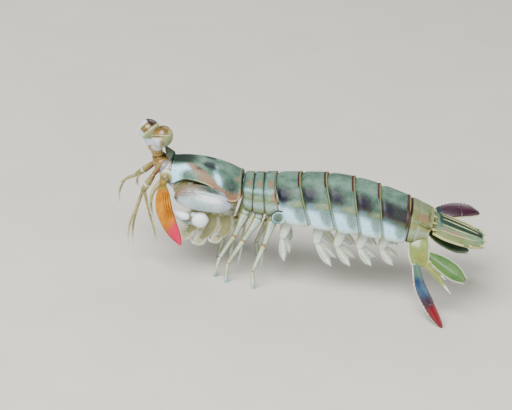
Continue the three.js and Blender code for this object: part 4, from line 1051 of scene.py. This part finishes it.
def build_claws():
    """The folded smashing claws: broad merus, wrist, hand, and the swollen club with its folded spike."""
    s = settings()
    finish = surface("hard_claw_shell", "#ccd6da", "#a8bcc4",
                     (("olive", s.olive, 0.85, 0.25), ("green", "#34482a", 0.95, 0.25),
                      ("white", "#eef0f4", 0.85, 0.2), ("rust", "#937d66", 0.85, 0.4),
                      ("violet", "#b7a6c9", 0.6, 0.3), ("line", "#4c5236", 0.85, 0.12)),
                     rough=0.36, coat=0.18, soft=0.3, speckle=0.3, gloss=0.25)
    hem = lambda u, a: 0.05 * bell(np.cos(a), 0.82, 0.06) - 0.05 * bell(np.cos(a), 0.7, 0.06)
    crease = lambda u, a: -0.08 * bell(np.cos(a), -1.0, 0.2)
    for side, mirror in SIDES:
        part = lambda name, **options: claw_sweep(name, mirror, **options)
        make = lambda piece, name, solid: piece.make(name + side, [finish], [solid + side], "claw")
        merus = part("merus", rows=110, columns=72, ends=(0.06, 0.08), relief=hem)
        z = merus.points[..., 2] - merus.points[..., 2].mean(axis=1, keepdims=True)
        high, u = z / (np.abs(z).max(axis=1, keepdims=True) + 1e-6), merus.u
        upper = Sculpt().add(
            merus, rust=0.8 * step(0.7, 0.1, u) * step(-0.1, 0.45, high), olive=0.95 * step(-0.7, -0.9, high),
            green=0.75 * step(0.62, 0.85, high) * step(0.95, 0.6, u) + 0.9 * step(0.14, 0.03, u),
            violet=0.6 * bell(u, 0.85, 0.12) + 0.5 * bell(high, -0.3, 0.2) * step(0.6, 0.3, u),
            white=0.95 * bell(high, 0.3, 0.3) * bell(u, 0.6, 0.24)
            + 0.5 * step(0.2, -0.3, high) * step(0.5, 0.2, u),
            line=0.8 * bell(high, 0.6, 0.04) * step(0.08, 0.2, u) * step(0.75, 0.6, u)
            + 0.6 * bell(high, 0.9, 0.04) * step(0.55, 0.7, u))
        upper.add(part("hip", rows=30, columns=24, across=(1, 0, 0)), olive=0.5)
        make(upper, "claw_upper_", "claw_merus_")
        knob = part("wrist", rows=50, columns=36, ends=(0.2, 0.2))
        wrist = Sculpt().add(knob, olive=0.5 * step(0.5, 0.9, knob.u), rust=0.5 * bell(knob.u, 0.4, 0.2))
        make(wrist, "claw_joint_", "claw_wrist_")
        palm = part("hand", rows=60, columns=40, ends=(0.1, 0.1), relief=crease)
        hand = Sculpt().add(palm, white=0.8, rust=0.4 * step(0.85, 0.98, palm.u),
                            violet=0.5 * bell(palm.u, 0.3, 0.2), line=0.5 * bell(palm.across, 0.0, 0.03))
        make(hand, "claw_palm_", "claw_hand_")
        knob = part("club", rows=80, columns=56, ends=(0.1, 0.2))
        club = Sculpt().add(knob, white=0.95, rust=0.3 * step(0.15, 0.03, knob.u),
                            olive=0.5 * step(-0.8, -0.98, knob.across))
        heel = ball(np.array(CLUB_HEEL) * (1, mirror, 1), (0.8, 0.7, 0.7), rows=24, columns=32)
        club.add(heel, rust=0.3, white=0.5)
        club.add(part("spike", rows=60, columns=24, ends=(0.1, 0.02)), olive=0.3)
        make(club, "claw_tip_", "claw_club_")


def build_jaw_feet():
    """Three pairs of small limbs under the chest, each ending in a clear round plate with a pale rim."""
    finish = surface("jaw_foot_shell", "#dadcc0", "#c6c9a4",
                     (("pale", "#f1f1ea", 0.9, 0.15), ("olive", "#9b9a5c", 0.8, 0.3),
                      ("brown", "#8b6a3a", 0.7, 0.3)),
                     rough=0.3, coat=0.5, soft=0.55, speckle=0.25, clear=0.35)
    bristle = hair_material("jaw_foot_bristles", "#e2dfc2", 0.7)
    knee = lambda u, a: -0.05 * bell(u, 0.52, 0.03) + 0.03 * bell(u, 0.6, 0.04)
    rng = np.random.default_rng(SEED + 1)
    lean = (0, 0.45, 0)
    for name, (path, size) in JAW_FEET.items():
        for side, mirror in SIDES:
            points = np.array(path) * (1, mirror, 1)
            arm = sweep(points, ARM_SIZES, 60, 32, ends=(0.03, 0.05), relief=knee)
            piece = Sculpt().add(
                arm, olive=0.75 * step(1.0, 0.5, arm.edge), pale=0.6 * step(0.88, 0.98, arm.edge),
                clear=0.8 * step(0.95, 0.6, arm.edge))
            disc = ball(points[2], (size[0], 0.36, size[1]), lean, 72, 64)
            local = (disc.points - points[2]) @ turned(lean)
            out = np.hypot(local[..., 0] / size[0], local[..., 2] / size[1])
            swell = 0.1 * bell(out, 0.88, 0.07) - 0.08 * bell(out, 0.4, 0.3)
            disc.points = disc.points + np.sign(local[..., 1:2]) * (0, 1, 0) * swell[..., None]
            piece.add(disc, pale=step(0.86, 0.95, out), olive=0.45 * bell(out, 0.3, 0.35),
                      clear=0.4 * step(0.85, 0.6, out), brown=0.3 * bell(out, 0.0, 0.2))
            tip = points[2] + (-size[0] * 0.5, 0, -size[1] * 0.75)
            piece.add(sweep([tip, tip + (-0.9, 0, 0.3), tip + (-1.5, 0, 1.1)], HOOK_SIZES, 30, 14), pale=0.8)
            a = rng.uniform(-0.6, 2.6, JAW_FOOT_BRISTLES)
            rim = np.stack([np.cos(a) * size[0], np.zeros_like(a), np.sin(a) * size[1]], axis=-1)
            rim = rim @ turned(lean).T
            piece.hairs(points[2] + rim * 0.95, rim + rng.normal(size=rim.shape) * 0.15,
                        rng.uniform(0.2, 0.45, JAW_FOOT_BRISTLES), FINE_BRISTLE)
            piece.make(name + "_foot_" + side, [finish, bristle], [name + "_" + side], "limb")


# Walking legs

# Each left leg's root, hip, knee, shin, foot and the tip of its side branch
LEGS = (
    ((-1.7, -4.2, 19.2), (-2.2, -4.6, 16.4), (-3.7, -4.6, 10.9), (-6.3, -4.4, 5.0), (-7.0, -4.4, 0.0),
     (-4.1, -3.5, 4.6)),
    ((0.9, -4.4, 19.0), (0.8, -5.0, 16.2), (-1.7, -5.4, 10.4), (-4.4, -5.9, 4.6), (-4.3, -6.3, 0.0),
     (-2.2, -4.6, 4.0)),
    ((4.0, -4.8, 18.9), (3.9, -5.4, 15.8), (2.9, -6.2, 10.4), (1.2, -6.9, 4.0), (1.9, -7.4, 0.0),
     (2.7, -5.6, 3.4)),
)
THIGH_SIZES = [(0.95, 0.9), (1.05, 0.9), (0.72, 0.62), (0.55, 0.5)]
SHIN_SIZES = [(0.62, 0.55), (0.5, 0.44), (0.42, 0.38)]
TOE_SIZES = [(0.44, 0.4), (0.46, 0.4), (0.34, 0.3)]
TWIG_SIZES = [(0.32, 0.3), (0.28, 0.28), (0.26, 0.26), (0.1, 0.1)]


def build_legs():
    """Six walking legs of three joints, each with a slender side branch at the knee and a bristly foot."""
    finish = limb_material()
    bristle = hair_material("leg_bristles", "#e8e6d6", 0.75)
    cuff = lambda u, a: -0.16 * bell(u, 0.3, 0.02) + 0.1 * bell(u, 0.36, 0.04) + 0.08 * bell(u, 0.96, 0.04)
    joint = lambda u, a: 0.07 * bell(u, 0.93, 0.05) + 0.06 * bell(u, 0.06, 0.06)
    rng = np.random.default_rng(SEED + 2)
    for number, leg in enumerate(LEGS, 1):
        for side, mirror in SIDES:
            root, hip, knee, shin, foot, branch = np.array(leg) * (1, mirror, 1)
            upper = sweep([root, hip, knee], THIGH_SIZES, 90, 32, ends=(0.03, 0.06), relief=cuff)
            piece = Sculpt().add(
                upper, olive=step(0.45, 0.85, upper.edge) + 0.7 * bell(upper.u, 0.3, 0.04),
                blue=0.7 * bell(upper.across, 0.1, 0.4), orange=0.9 * bell(upper.u, 0.97, 0.05),
                dark=0.5 * bell(upper.u, 0.29, 0.015))
            lower = sweep([knee, shin], SHIN_SIZES, 60, 26, ends=(0.08, 0.06), relief=joint)
            piece.add(lower, olive=0.95 * step(0.45, 0.85, lower.edge), blue=0.4 * bell(lower.u, 0.5, 0.2),
                      orange=0.8 * step(0.9, 0.98, lower.u) + 0.7 * step(0.1, 0.02, lower.u))
            toe = sweep([shin, foot], TOE_SIZES, 60, 26, ends=(0.08, 0.01))
            toe.points = level(toe.points)
            piece.add(toe, blue=0.8 * step(0.5, 0.95, toe.u), olive=0.85 * step(0.5, 0.9, toe.edge))
            middle = knee + (branch - knee) * 0.5
            twig = sweep([knee + (shin - knee) * 0.06, middle, branch], TWIG_SIZES, 60, 20, ends=(0.05, 0.03))
            piece.add(twig, blue=0.7 * step(0.3, 1.0, twig.u), olive=0.5 * bell(twig.u, 0.15, 0.15))
            for path, low, count, long in (([shin, foot], 0.1, 160, 0.5), ([knee, shin], 0.55, 60, 0.4),
                                           ([knee, middle, branch], 0.5, 90, 0.45)):
                u = rng.uniform(low, 0.93, count)
                spot, tangent = curve(path, u)
                piece.hairs(spot, unit(rng.normal(size=(count, 3)) * (1, 1, 0.3)) + tangent * 0.9,
                            rng.uniform(0.6, 1.0, count) * long + 0.35, FINE_BRISTLE)
            place = "%d_%s" % (number, side)
            piece.make("walking_leg_" + place, [finish, bristle], ["leg_" + place], "limb")


# Swimmerets

# Each left swimmeret's root, knee and tip
SWIMMERETS = (
    ((7.6, -3.9, 18.2), (6.6, -4.4, 11.6), (7.8, -4.8, 6.4)),
    ((14.2, -4.0, 18.0), (14.2, -4.6, 11.6), (18.2, -5.0, 6.9)),
    ((19.6, -4.0, 18.0), (18.6, -4.6, 11.6), (22.2, -5.0, 7.6)),
    ((24.6, -4.0, 17.8), (23.4, -4.6, 11.9), (26.8, -5.0, 8.4)),
    ((29.4, -3.9, 17.6), (28.2, -4.4, 12.4), (31.4, -4.8, 9.2)),
)
STOCK_SIZES = [(1.25, 0.6), (1.2, 0.6), (0.8, 0.5)]
LEAF_WIDTHS = (0.55, 0.85, 0.8, 0.15)


def fringe(piece, rng, path, widths, face, count, length, span, thick=BRISTLE):
    """Bristles along both edges of a blade, leaning more towards its tip the nearer they stand to it."""
    u = rng.uniform(span[0], span[1], count)
    spot, tangent, _, outward = blade_edge(path, u, face)
    outward = outward * np.sign(rng.uniform(-1, 1, count))[:, None]
    reach = along(widths, u)[:, None]
    lean = outward * (1.15 - u[:, None]) + tangent * (0.35 + u[:, None]) + rng.normal(size=(count, 3)) * 0.06
    piece.hairs(spot + outward * reach * 0.94, lean, rng.uniform(0.7, 1.0, count) * length, thick)


def build_swimmerets():
    """Five pairs of stems under the abdomen, each with two fringed paddles and a tuft of gill threads."""
    finish = surface("swimmeret_shell", "#e4ece2", "#cbd8cc",
                     (("blue", "#a7c6d8", 0.85, 0.2), ("yellow", "#d2d07a", 0.85, 0.25),
                      ("grey", "#8e9b98", 0.7, 0.3)),
                     rough=0.36, coat=0.25, soft=0.45, speckle=0.2, clear=0.5)
    bristle = hair_material("swimmeret_bristles", "#d6ddd2", 0.22)
    fold = lambda u, t: 0.05 * bell(np.cos(t), 0.6, 0.1) - 0.05 * bell(np.cos(t), 0.3, 0.1)
    vein = lambda u, t: 0.03 * bell(np.cos(t), 0.0, 0.06)
    rng = np.random.default_rng(SEED + 3)
    for number, (root, knee, tip) in enumerate(SWIMMERETS, 1):
        for side, mirror in SIDES:
            a, b, c = (np.array(p) * (1, mirror, 1) for p in (root, knee, tip))
            face = (0.35, -mirror, 0.2)
            stem = sweep([a, (a + b) / 2, b], STOCK_SIZES, 60, 32, ends=(0.02, 0.15), relief=fold)
            piece = Sculpt().add(
                stem, blue=0.7 * step(0.6, 0.95, stem.across), grey=0.3 * bell(stem.u, 0.1, 0.1),
                yellow=0.8 * step(-0.6, -0.95, stem.across))
            start = a + (b - a) * 0.92
            inner_tip = c + (0.9, 2.0 * mirror, 1.2)
            for path in ([start, (b + c) / 2, c], [start, (b + inner_tip) / 2 + (0.5, 0, 0), inner_tip]):
                blade = sweep(path, [(w, 0.22) for w in LEAF_WIDTHS], 60, 36, across=face, ends=(0.05, 0.15),
                              cup=0.12, relief=vein)
                edge, u = blade.edge, blade.u
                piece.add(blade, blue=0.8 * step(0.8, 0.97, edge),
                          yellow=0.7 * bell(edge, 0.55, 0.15) * step(0.95, 0.5, u),
                          clear=0.6 * step(0.15, 0.4, edge) * step(0.98, 0.8, edge) * step(0.1, 0.4, u))
                fringe(piece, rng, path, LEAF_WIDTHS, face, SWIMMERET_BRISTLES, 0.6, (0.15, 1.0),
                       HAZE_BRISTLE)
            u = rng.uniform(0.5, 0.95, GILL_THREADS)
            spot = a + (b - a) * u[:, None] + rng.normal(size=(GILL_THREADS, 3)) * 0.15
            lean = np.array([0.8, 0.25 * mirror, -0.9]) + rng.normal(size=(GILL_THREADS, 3)) * 0.22
            piece.hairs(spot, lean, rng.uniform(0.7, 1.6, GILL_THREADS), GILL_THREAD, droop=(0, 0, -0.25),
                        segments=3)
            place = "%d_%s" % (number, side)
            piece.make("swimming_leg_" + place, [finish, bristle], ["swimmeret_" + place], "swimmeret")


# Tail

TELSON = {"front_x": 39.3, "rear_x": 50.2, "front_z": 20.2, "rear_z": 17.6, "arch": 1.5,
          "half": (5.1, 5.9, 6.0, 5.7, 5.0, 3.4), "thick": 1.3}
KEELS = (0, -0.38, 0.38, -0.72, 0.72)
# Rear teeth: share along, place across and length
TEETH = ((0.97, 0.34, 2.3), (0.93, 0.78, 2.0), (0.72, 0.97, 1.6))
TOOTH_SIZES = [(0.4, 0.75), (0.32, 0.55), (0.06, 0.06)]


def telson_top(u, v):
    """The tail plate's upper face: u from front to rear, v from the left edge at -1 to the right at 1."""
    t = TELSON
    crown = t["arch"] * (1 - np.abs(v) ** 1.7) * (1 - 0.45 * u)
    x = t["front_x"] + (t["rear_x"] - t["front_x"]) * u - 0.7 * v * v * (1 - u)
    z = t["front_z"] + (t["rear_z"] - t["front_z"]) * u - t["arch"] + crown
    return np.stack([x, along(t["half"], u) * v, z], axis=-1)


def build_telson():
    """The tail plate with its keels, marginal teeth and fine bristles between them."""
    s = settings()
    finish = surface("tail_plate_shell", "#87a084", "#5f7c66",
                     (("teal", "#1d3d37", 0.92, 0.35), ("pink", "#a9766e", 0.8, 0.3),
                      ("olive", s.olive, 0.75, 0.3), ("cream", s.cream, 0.95, 0.12),
                      ("line", "#3a2f2a", 0.8, 0.15)),
                     rough=0.5, coat=0.06, soft=0.15, gloss=0.15)
    bristle = hair_material("tail_plate_bristles", "#d9d3b8", 0.75)
    v = np.sin(np.linspace(-math.pi / 2, math.pi / 2, 90))
    u, v = np.meshgrid(np.linspace(0, 1, 80), v, indexing="ij")
    edge = plate_edge(u, v, 1.5)
    dip = 0.12 * sum(bell(np.abs(v), centre, 0.06) for centre in (0.2, 0.55, 0.86)) * step(0.05, 0.2, u)
    deep = TELSON["thick"] * (1 - 0.4 * v * v)
    half = (deep / 2) * (1 - rounded(edge, 0.06))
    upper = telson_top(u, v) - (0, 0, 1) * (half + dip)[..., None]
    lower = telson_top(u, v) - (0, 0, 1) * (deep - half)[..., None]
    loop, a, uu, vv, near = plate(upper, lower, u, v, edge)
    piece = Sculpt().add(
        Patch(loop, uu, a), teal=step(-0.5, -0.12, vv) * step(0.02, 0.12, uu),
        pink=0.8 * bell(vv, -0.62, 0.14) * bell(uu, 0.4, 0.35), olive=0.75 * bell(vv, -0.88, 0.15),
        cream=0.8 * step(0.03, 0.0, near), line=0.5 * bell(uu, 0.03, 0.02))
    for centre in KEELS:
        shares = np.array([0.14, 0.45, 0.72, 0.9])
        path = telson_top(shares, centre * (1 - 0.12 * shares))
        keel = sweep(path, [(0.08, 0.1), (0.13, 0.15), (0.15, 0.15), (0.06, 0.08)], 60, 24, ends=(0.1, 0.05))
        piece.add(keel, cream=0.95 * step(0.1, 0.8, keel.edge), olive=0.5)
    for share, place, reach in TEETH:
        for hand in (-1, 1):
            root = telson_top(np.float64(share - 0.12), np.float64(hand * place * 0.9)) - (0, 0, 0.5)
            tip = root + (reach + 0.6, 0.18 * hand, -0.35)
            tooth = sweep([root, (root + tip) / 2, tip], TOOTH_SIZES, 50, 24, ends=(0.05, 0.02))
            piece.add(tooth, cream=0.9 * step(0.35, 0.8, tooth.u), olive=0.5 * step(0.6, 0.2, tooth.u))
    rng = np.random.default_rng(SEED + 4)
    place = rng.uniform(-0.9, 0.9, TELSON_BRISTLES)
    roots = telson_top(np.full(TELSON_BRISTLES, 0.985), place) - (0, 0, 0.6)
    lean = np.stack([np.ones_like(place), place * 0.4, rng.normal(size=TELSON_BRISTLES) * 0.1 - 0.1], axis=-1)
    piece.hairs(roots, lean, rng.uniform(0.4, 0.8, TELSON_BRISTLES), BRISTLE)
    piece.make("tail_plate", [finish, bristle], ["telson"], "tail_plate")


FANS = {
    "left": {
        "base": ([(36.2, -4.6, 17.6), (36.1, -6.6, 15.2), (37.0, -8.0, 11.4)],
                 [(1.6, 0.8), (2.3, 0.85), (2.3, 0.75), (1.8, 0.6)]),
        "across": (0.1, 1, -0.5),
        "prongs": [[(37.9, -7.8, 12.6), (41.0, -8.2, 9.6), (44.6, -8.6, 6.2)],
                   [(38.6, -7.6, 12.8), (40.7, -8.0, 11.2), (42.9, -8.3, 9.3)]],
        "blade": [(35.8, -8.1, 12.4), (37.7, -9.8, 7.4), (40.9, -11.7, 3.2), (43.6, -13.0, 0.0)],
        "blade_face": (0.45, -1, -0.45), "blade_widths": (0.8, 1.1, 1.3, 1.3, 1.05, 0.45),
        "paddle": [(37.6, -7.0, 14.6), (42.6, -7.7, 12.2), (47.1, -8.3, 9.7)],
        "paddle_face": (0.35, -1, 0.55),
    },
    "right": {
        "base": ([(35.9, 4.6, 17.4), (37.0, 6.1, 15.4), (38.8, 7.4, 14.5)],
                 [(1.3, 0.9), (1.6, 0.9), (1.6, 0.8), (1.2, 0.7)]),
        "across": (0, 0.7, 0.7),
        "prongs": [[(38.9, 7.2, 14.4), (42.6, 7.6, 13.6), (46.5, 7.8, 12.4)],
                   [(38.9, 6.6, 14.2), (41.4, 6.2, 13.4), (43.8, 6.0, 12.7)]],
        "blade": [(38.7, 8.6, 15.0), (41.6, 9.9, 16.5), (46.0, 10.9, 17.2), (50.0, 11.3, 16.6)],
        "blade_face": (0, -0.5, 1), "blade_widths": (1.0, 1.75, 2.15, 2.15, 1.65, 0.5),
        "paddle": [(37.6, 6.3, 13.6), (43.0, 6.6, 11.1), (48.6, 6.4, 9.4)],
        "paddle_face": (0.3, -0.6, 1),
    },
}
PADDLE_WIDTHS = (0.5, 1.3, 1.75, 1.7, 0.7)
# Spines on the outer side of each blade
SPINE_SHARES = np.linspace(0.28, 0.72, 9)
SPINE_SIZES = [(0.14, 0.14), (0.1, 0.1), (0.02, 0.02)]


def build_fan():
    """The tail fan: on each side a base with two prongs, a spined outer blade and a green inner paddle."""
    s = settings()
    base_finish = surface("fan_base_shell", "#a4a868", "#848c4e",
                          (("pale", "#e4ead6", 0.9, 0.2), ("green", "#7d9b62", 0.8, 0.3),
                           ("pink", "#cfaaa0", 0.6, 0.3), ("white", "#f2f2e6", 0.95, 0.1)),
                          rough=0.33, coat=0.45, soft=0.35, speckle=0.25)
    blade_finish = surface("fan_blade_shell", s.deep_blue, "#46687c",
                           (("red", s.deep_red, 0.97, 0.18), ("maroon", s.maroon, 0.95, 0.2),
                            ("teal", "#5f8070", 0.9, 0.3), ("moss", "#23403c", 0.95, 0.25),
                            ("white", "#efe6e2", 0.92, 0.12), ("orange", "#d9772e", 0.85, 0.15),
                            ("cream", s.cream, 0.9, 0.1)),
                           rough=0.32, coat=0.45, soft=0.3, speckle=0.2)
    paddle_finish = surface("fan_paddle_shell", s.leaf_green, "#587e46",
                            (("grey", "#8d9c86", 0.8, 0.25), ("pale", "#cfe6c2", 0.9, 0.15),
                             # dark is painted shade, laid heavily on the far paddle
                             ("dark", "#2f4a34", 0.9, 0.25)),
                            rough=0.32, coat=0.4, soft=0.4, speckle=0.15, clear=0.3)
    bristle = hair_material("fan_bristles", "#cfd2b4", 0.6)
    rng = np.random.default_rng(SEED + 5)
    ribbed = lambda u, a: 0.08 * bell(np.cos(a), 0.75, 0.08) - 0.06 * bell(np.cos(a), 0.4, 0.1)
    keeled = lambda u, a: 0.05 * bell(np.cos(a), 0.0, 0.15)
    jointed = lambda u, a: -0.06 * bell(u, 0.62, 0.012) + 0.04 * bell(np.cos(a), 0.0, 0.08)
    veined = lambda u, a: 0.04 * bell(np.cos(a), 0.1, 0.06)
    for side, hand in SIDES:
        fan = FANS[side]
        path, sizes = fan["base"]
        stock = sweep(path, sizes, 80, 44, across=fan["across"], ends=(0.03, 0.12), relief=ribbed)
        base = Sculpt().add(stock, pale=0.8 * step(0.75, 0.97, stock.edge),
                            green=0.5 * bell(stock.u, 0.35, 0.25), pink=0.5 * bell(stock.u, 0.1, 0.1))
        for path in fan["prongs"]:
            prong = sweep(path, [(0.8, 0.4), (0.6, 0.36), (0.08, 0.08)], 70, 24, across=fan["across"],
                          ends=(0.08, 0.02), relief=keeled)
            base.add(prong, white=0.9 * step(0.6, 0.9, prong.u), pale=0.7 * step(0.8, 0.97, prong.edge),
                     green=0.4 * bell(prong.u, 0.3, 0.2))
        base.make("fan_base_" + side, [base_finish], ["uropod_base_" + side], "fan_base")

        path, widths, face = fan["blade"], fan["blade_widths"], fan["blade_face"]
        leaf = sweep(path, [(w, 0.38) for w in widths], 120, 60, across=face, ends=(0.04, 0.06), cup=0.1,
                     relief=jointed)
        leaf.points = level(leaf.points)
        across, u = leaf.across * hand, leaf.u
        if side == "left":
            paint = {"red": 1.2 * step(0.48, 0.8, u), "maroon": 0.7 * bell(u, 0.58, 0.13),
                     "teal": step(0.3, 0.1, u) + 0.5 * step(0.3, 0.7, -across) * step(0.45, 0.2, u),
                     "white": 0.9 * step(0.75, 0.95, across) * step(0.78, 0.5, u),
                     "orange": 0.9 * step(0.8, 0.95, across) * bell(u, 0.4, 0.25)}
        else:
            paint = {"maroon": 1.15 * step(0.15, 0.4, u), "moss": 1.15 * step(0.4, 0.12, u),
                     "cream": 0.9 * step(0.85, 0.97, leaf.edge), "red": 0.3 * bell(u, 0.8, 0.15)}
        blade = Sculpt().add(leaf, **paint)
        for share in SPINE_SHARES:
            spot, tangent, _, out = (part[0] for part in blade_edge(path, [share], face))
            out = out * hand
            root = spot + out * along(widths, share) * 0.86
            tip = root + out * 0.22 + tangent * 0.7
            spine = sweep([root, (root + tip) / 2 + out * 0.06, tip], SPINE_SIZES, 16, 10)
            blade.add(spine, white=1.0, orange=0.5 * step(0.3, 0.9, spine.u))
        fringe(blade, rng, path, widths, face, BLADE_BRISTLES, 0.55, (0.62, 0.98))
        blade.make("fan_blade_" + side, [blade_finish, bristle], ["uropod_blade_" + side], "fan_blade")

        path, face = fan["paddle"], fan["paddle_face"]
        leaf = sweep(path, [(w, 0.24) for w in PADDLE_WIDTHS], 90, 56, across=face, ends=(0.04, 0.1),
                     cup=0.12, relief=veined)
        paddle = Sculpt().add(
            leaf, grey=0.8 * bell(leaf.across, 0.1, 0.18) * step(0.95, 0.6, leaf.u),
            pale=0.9 * step(0.84, 0.96, leaf.edge), clear=0.6 * step(0.5, 0.8, leaf.edge),
            # dark is painted shade: heavy on the far paddle under the tail plate's edge, light on the near
            # one
            dark=(1.1 if side == "right" else 0.2) * step(0.85, 0.4, leaf.edge))
        fringe(paddle, rng, path, PADDLE_WIDTHS, face, PADDLE_BRISTLES, 0.7, (0.2, 1.0))
        paddle.make("fan_paddle_" + side, [paddle_finish, bristle], ["uropod_paddle_" + side], "fan_paddle")


# Stage

# The photo's view: pixels for a millimetre at the animal, its width in pixels, and the sensor in millimetres
PIXELS_PER_MM = 4.57
PHOTO_WIDTH = 512
SENSOR = 36
RISE, ROLL = math.radians(27), math.radians(8)
VIEW_CENTRE = (0.0, 0.0, 16.72)
FLOOR_REACH = 3
# Lamps: place, size and power in metres and watts
LAMPS = {
    "key": ((-0.2, -0.34, 0.55), 0.45, 12.0),
    "fill": ((0.5, -0.4, 0.3), 0.6, 2.2),
    "back": ((0.1, 0.5, 0.5), 0.4, 1.6),
}
LAMP_AIM = Vector((0, 0, 0.015))
SKY, SKY_STRENGTH = (0.78, 0.82, 0.84, 1), 0.22


def build_stage():
    """A plain pale floor, soft studio light and the camera at the photo's angle."""
    scene = bpy.context.scene
    distance = settings().camera_distance
    target = (np.array(VIEW_CENTRE) + frame_shift()) * MM
    back = np.array((0.0, -math.cos(RISE), math.sin(RISE)))
    right, up = np.array((1.0, 0.0, 0.0)), np.cross(back, (1.0, 0.0, 0.0))
    across = right * math.cos(ROLL) + up * math.sin(ROLL)
    above = -right * math.sin(ROLL) + up * math.cos(ROLL)
    lens = bpy.data.cameras.new("photo_camera")
    lens.sensor_width = SENSOR
    lens.lens = PIXELS_PER_MM * distance / MM * SENSOR / PHOTO_WIDTH
    lens.clip_start = 0.01
    lens.clip_end = 10
    camera = bpy.data.objects.new("photo_camera", lens)
    pose = np.eye(4)
    pose[:3] = np.column_stack((across, above, back, target + back * distance))
    camera.matrix_world = Matrix(pose.tolist())
    scene.collection.objects.link(camera)
    scene.camera = camera

    mesh = bpy.data.meshes.new("floor")
    corners = [(x * FLOOR_REACH, y * FLOOR_REACH, 0) for x, y in ((-1, -1), (1, -1), (1, 1), (-1, 1))]
    mesh.from_pydata(corners, [], [(0, 1, 2, 3)])
    floor = bpy.data.objects.new("floor", mesh)
    scene.collection.objects.link(floor)
    material, tree = empty_material("pale_floor")
    place = node(tree, "ShaderNodeTexCoord").outputs["Object"]
    grain = node(tree, "ShaderNodeTexNoise", {"Vector": place, "Scale": 60.0, "Detail": 3.0}).outputs["Fac"]
    tone = blend(tree, grain, rgba("#c9c6bd"), rgba("#d3d0c8"))
    shader = node(tree, "ShaderNodeBsdfPrincipled", {"Base Color": tone, "Roughness": 0.85})
    node(tree, "ShaderNodeOutputMaterial", {"Surface": shader.outputs[0]})
    mesh.materials.append(material)

    for name, (place, size, power) in LAMPS.items():
        lamp = bpy.data.lights.new(name, "AREA")
        lamp.size = size
        lamp.energy = power
        light = bpy.data.objects.new(name, lamp)
        light.location = place
        light.rotation_euler = (LAMP_AIM - Vector(place)).to_track_quat("-Z", "Y").to_euler()
        scene.collection.objects.link(light)
    world = bpy.data.worlds.new("studio")
    world.use_nodes = True
    sky = world.node_tree.nodes["Background"].inputs
    sky["Color"].default_value = SKY
    sky["Strength"].default_value = SKY_STRENGTH
    scene.world = world


# Operators and panel

class BuildStep(bpy.types.Operator):
    """Shared steps of the operators below."""

    bl_options = {"REGISTER", "UNDO"}

    def execute(self, context):
        self.build()
        return {"FINISHED"}


def operator(key, label, build):
    """An operator that runs one builder and takes its words from it."""
    return type("SHRIMP_OT_" + key, (BuildStep,), {
        "bl_idname": "shrimp." + key, "bl_label": label, "__doc__": build.__doc__,
        "build": lambda self: build()})


OPERATORS = tuple(operator(*row) for row in (
    ("trunk", "Rings of the trunk", build_trunk),
    ("carapace", "Head shield", build_carapace),
    ("skin", "Underside and face", build_skin),
    ("eyes", "Eyes", build_eyes),
    ("feelers", "Feelers and scales", build_feelers),
    ("claws", "Smashing claws", build_claws),
    ("jaw_feet", "Jaw feet", build_jaw_feet),
    ("legs", "Walking legs", build_legs),
    ("swimmerets", "Swimmerets", build_swimmerets),
    ("telson", "Tail plate", build_telson),
    ("fan", "Tail fan", build_fan),
    ("stage", "Floor, light and camera", build_stage)))


class SHRIMP_PT_panel(bpy.types.Panel):
    """Lists the steps in order, with the colours and sizes they share."""

    bl_label = "Mantis shrimp"
    bl_idname = "SHRIMP_PT_panel"
    bl_space_type = "VIEW_3D"
    bl_region_type = "UI"
    bl_category = "Shrimp"

    def draw(self, context):
        for made in OPERATORS:
            self.layout.operator(made.bl_idname)
        for key in ShrimpSettings.__annotations__:
            self.layout.prop(context.scene.shrimp_settings, key)


def register():
    """Adds the panel, its steps and its settings."""
    bpy.utils.register_class(ShrimpSettings)
    bpy.types.Scene.shrimp_settings = bpy.props.PointerProperty(type=ShrimpSettings)
    for made in (*OPERATORS, SHRIMP_PT_panel):
        bpy.utils.register_class(made)


def unregister():
    """Takes them away again."""
    for made in (SHRIMP_PT_panel, *reversed(OPERATORS)):
        bpy.utils.unregister_class(made)
    del bpy.types.Scene.shrimp_settings
    bpy.utils.unregister_class(ShrimpSettings)


def main():
    """Runs every step in order, and notes the size of the solids and of the dressed animal."""
    register()
    for made in OPERATORS:
        group, key = made.bl_idname.split(".")
        getattr(getattr(bpy.ops, group), key)()


if __name__ == "__main__":
    main()
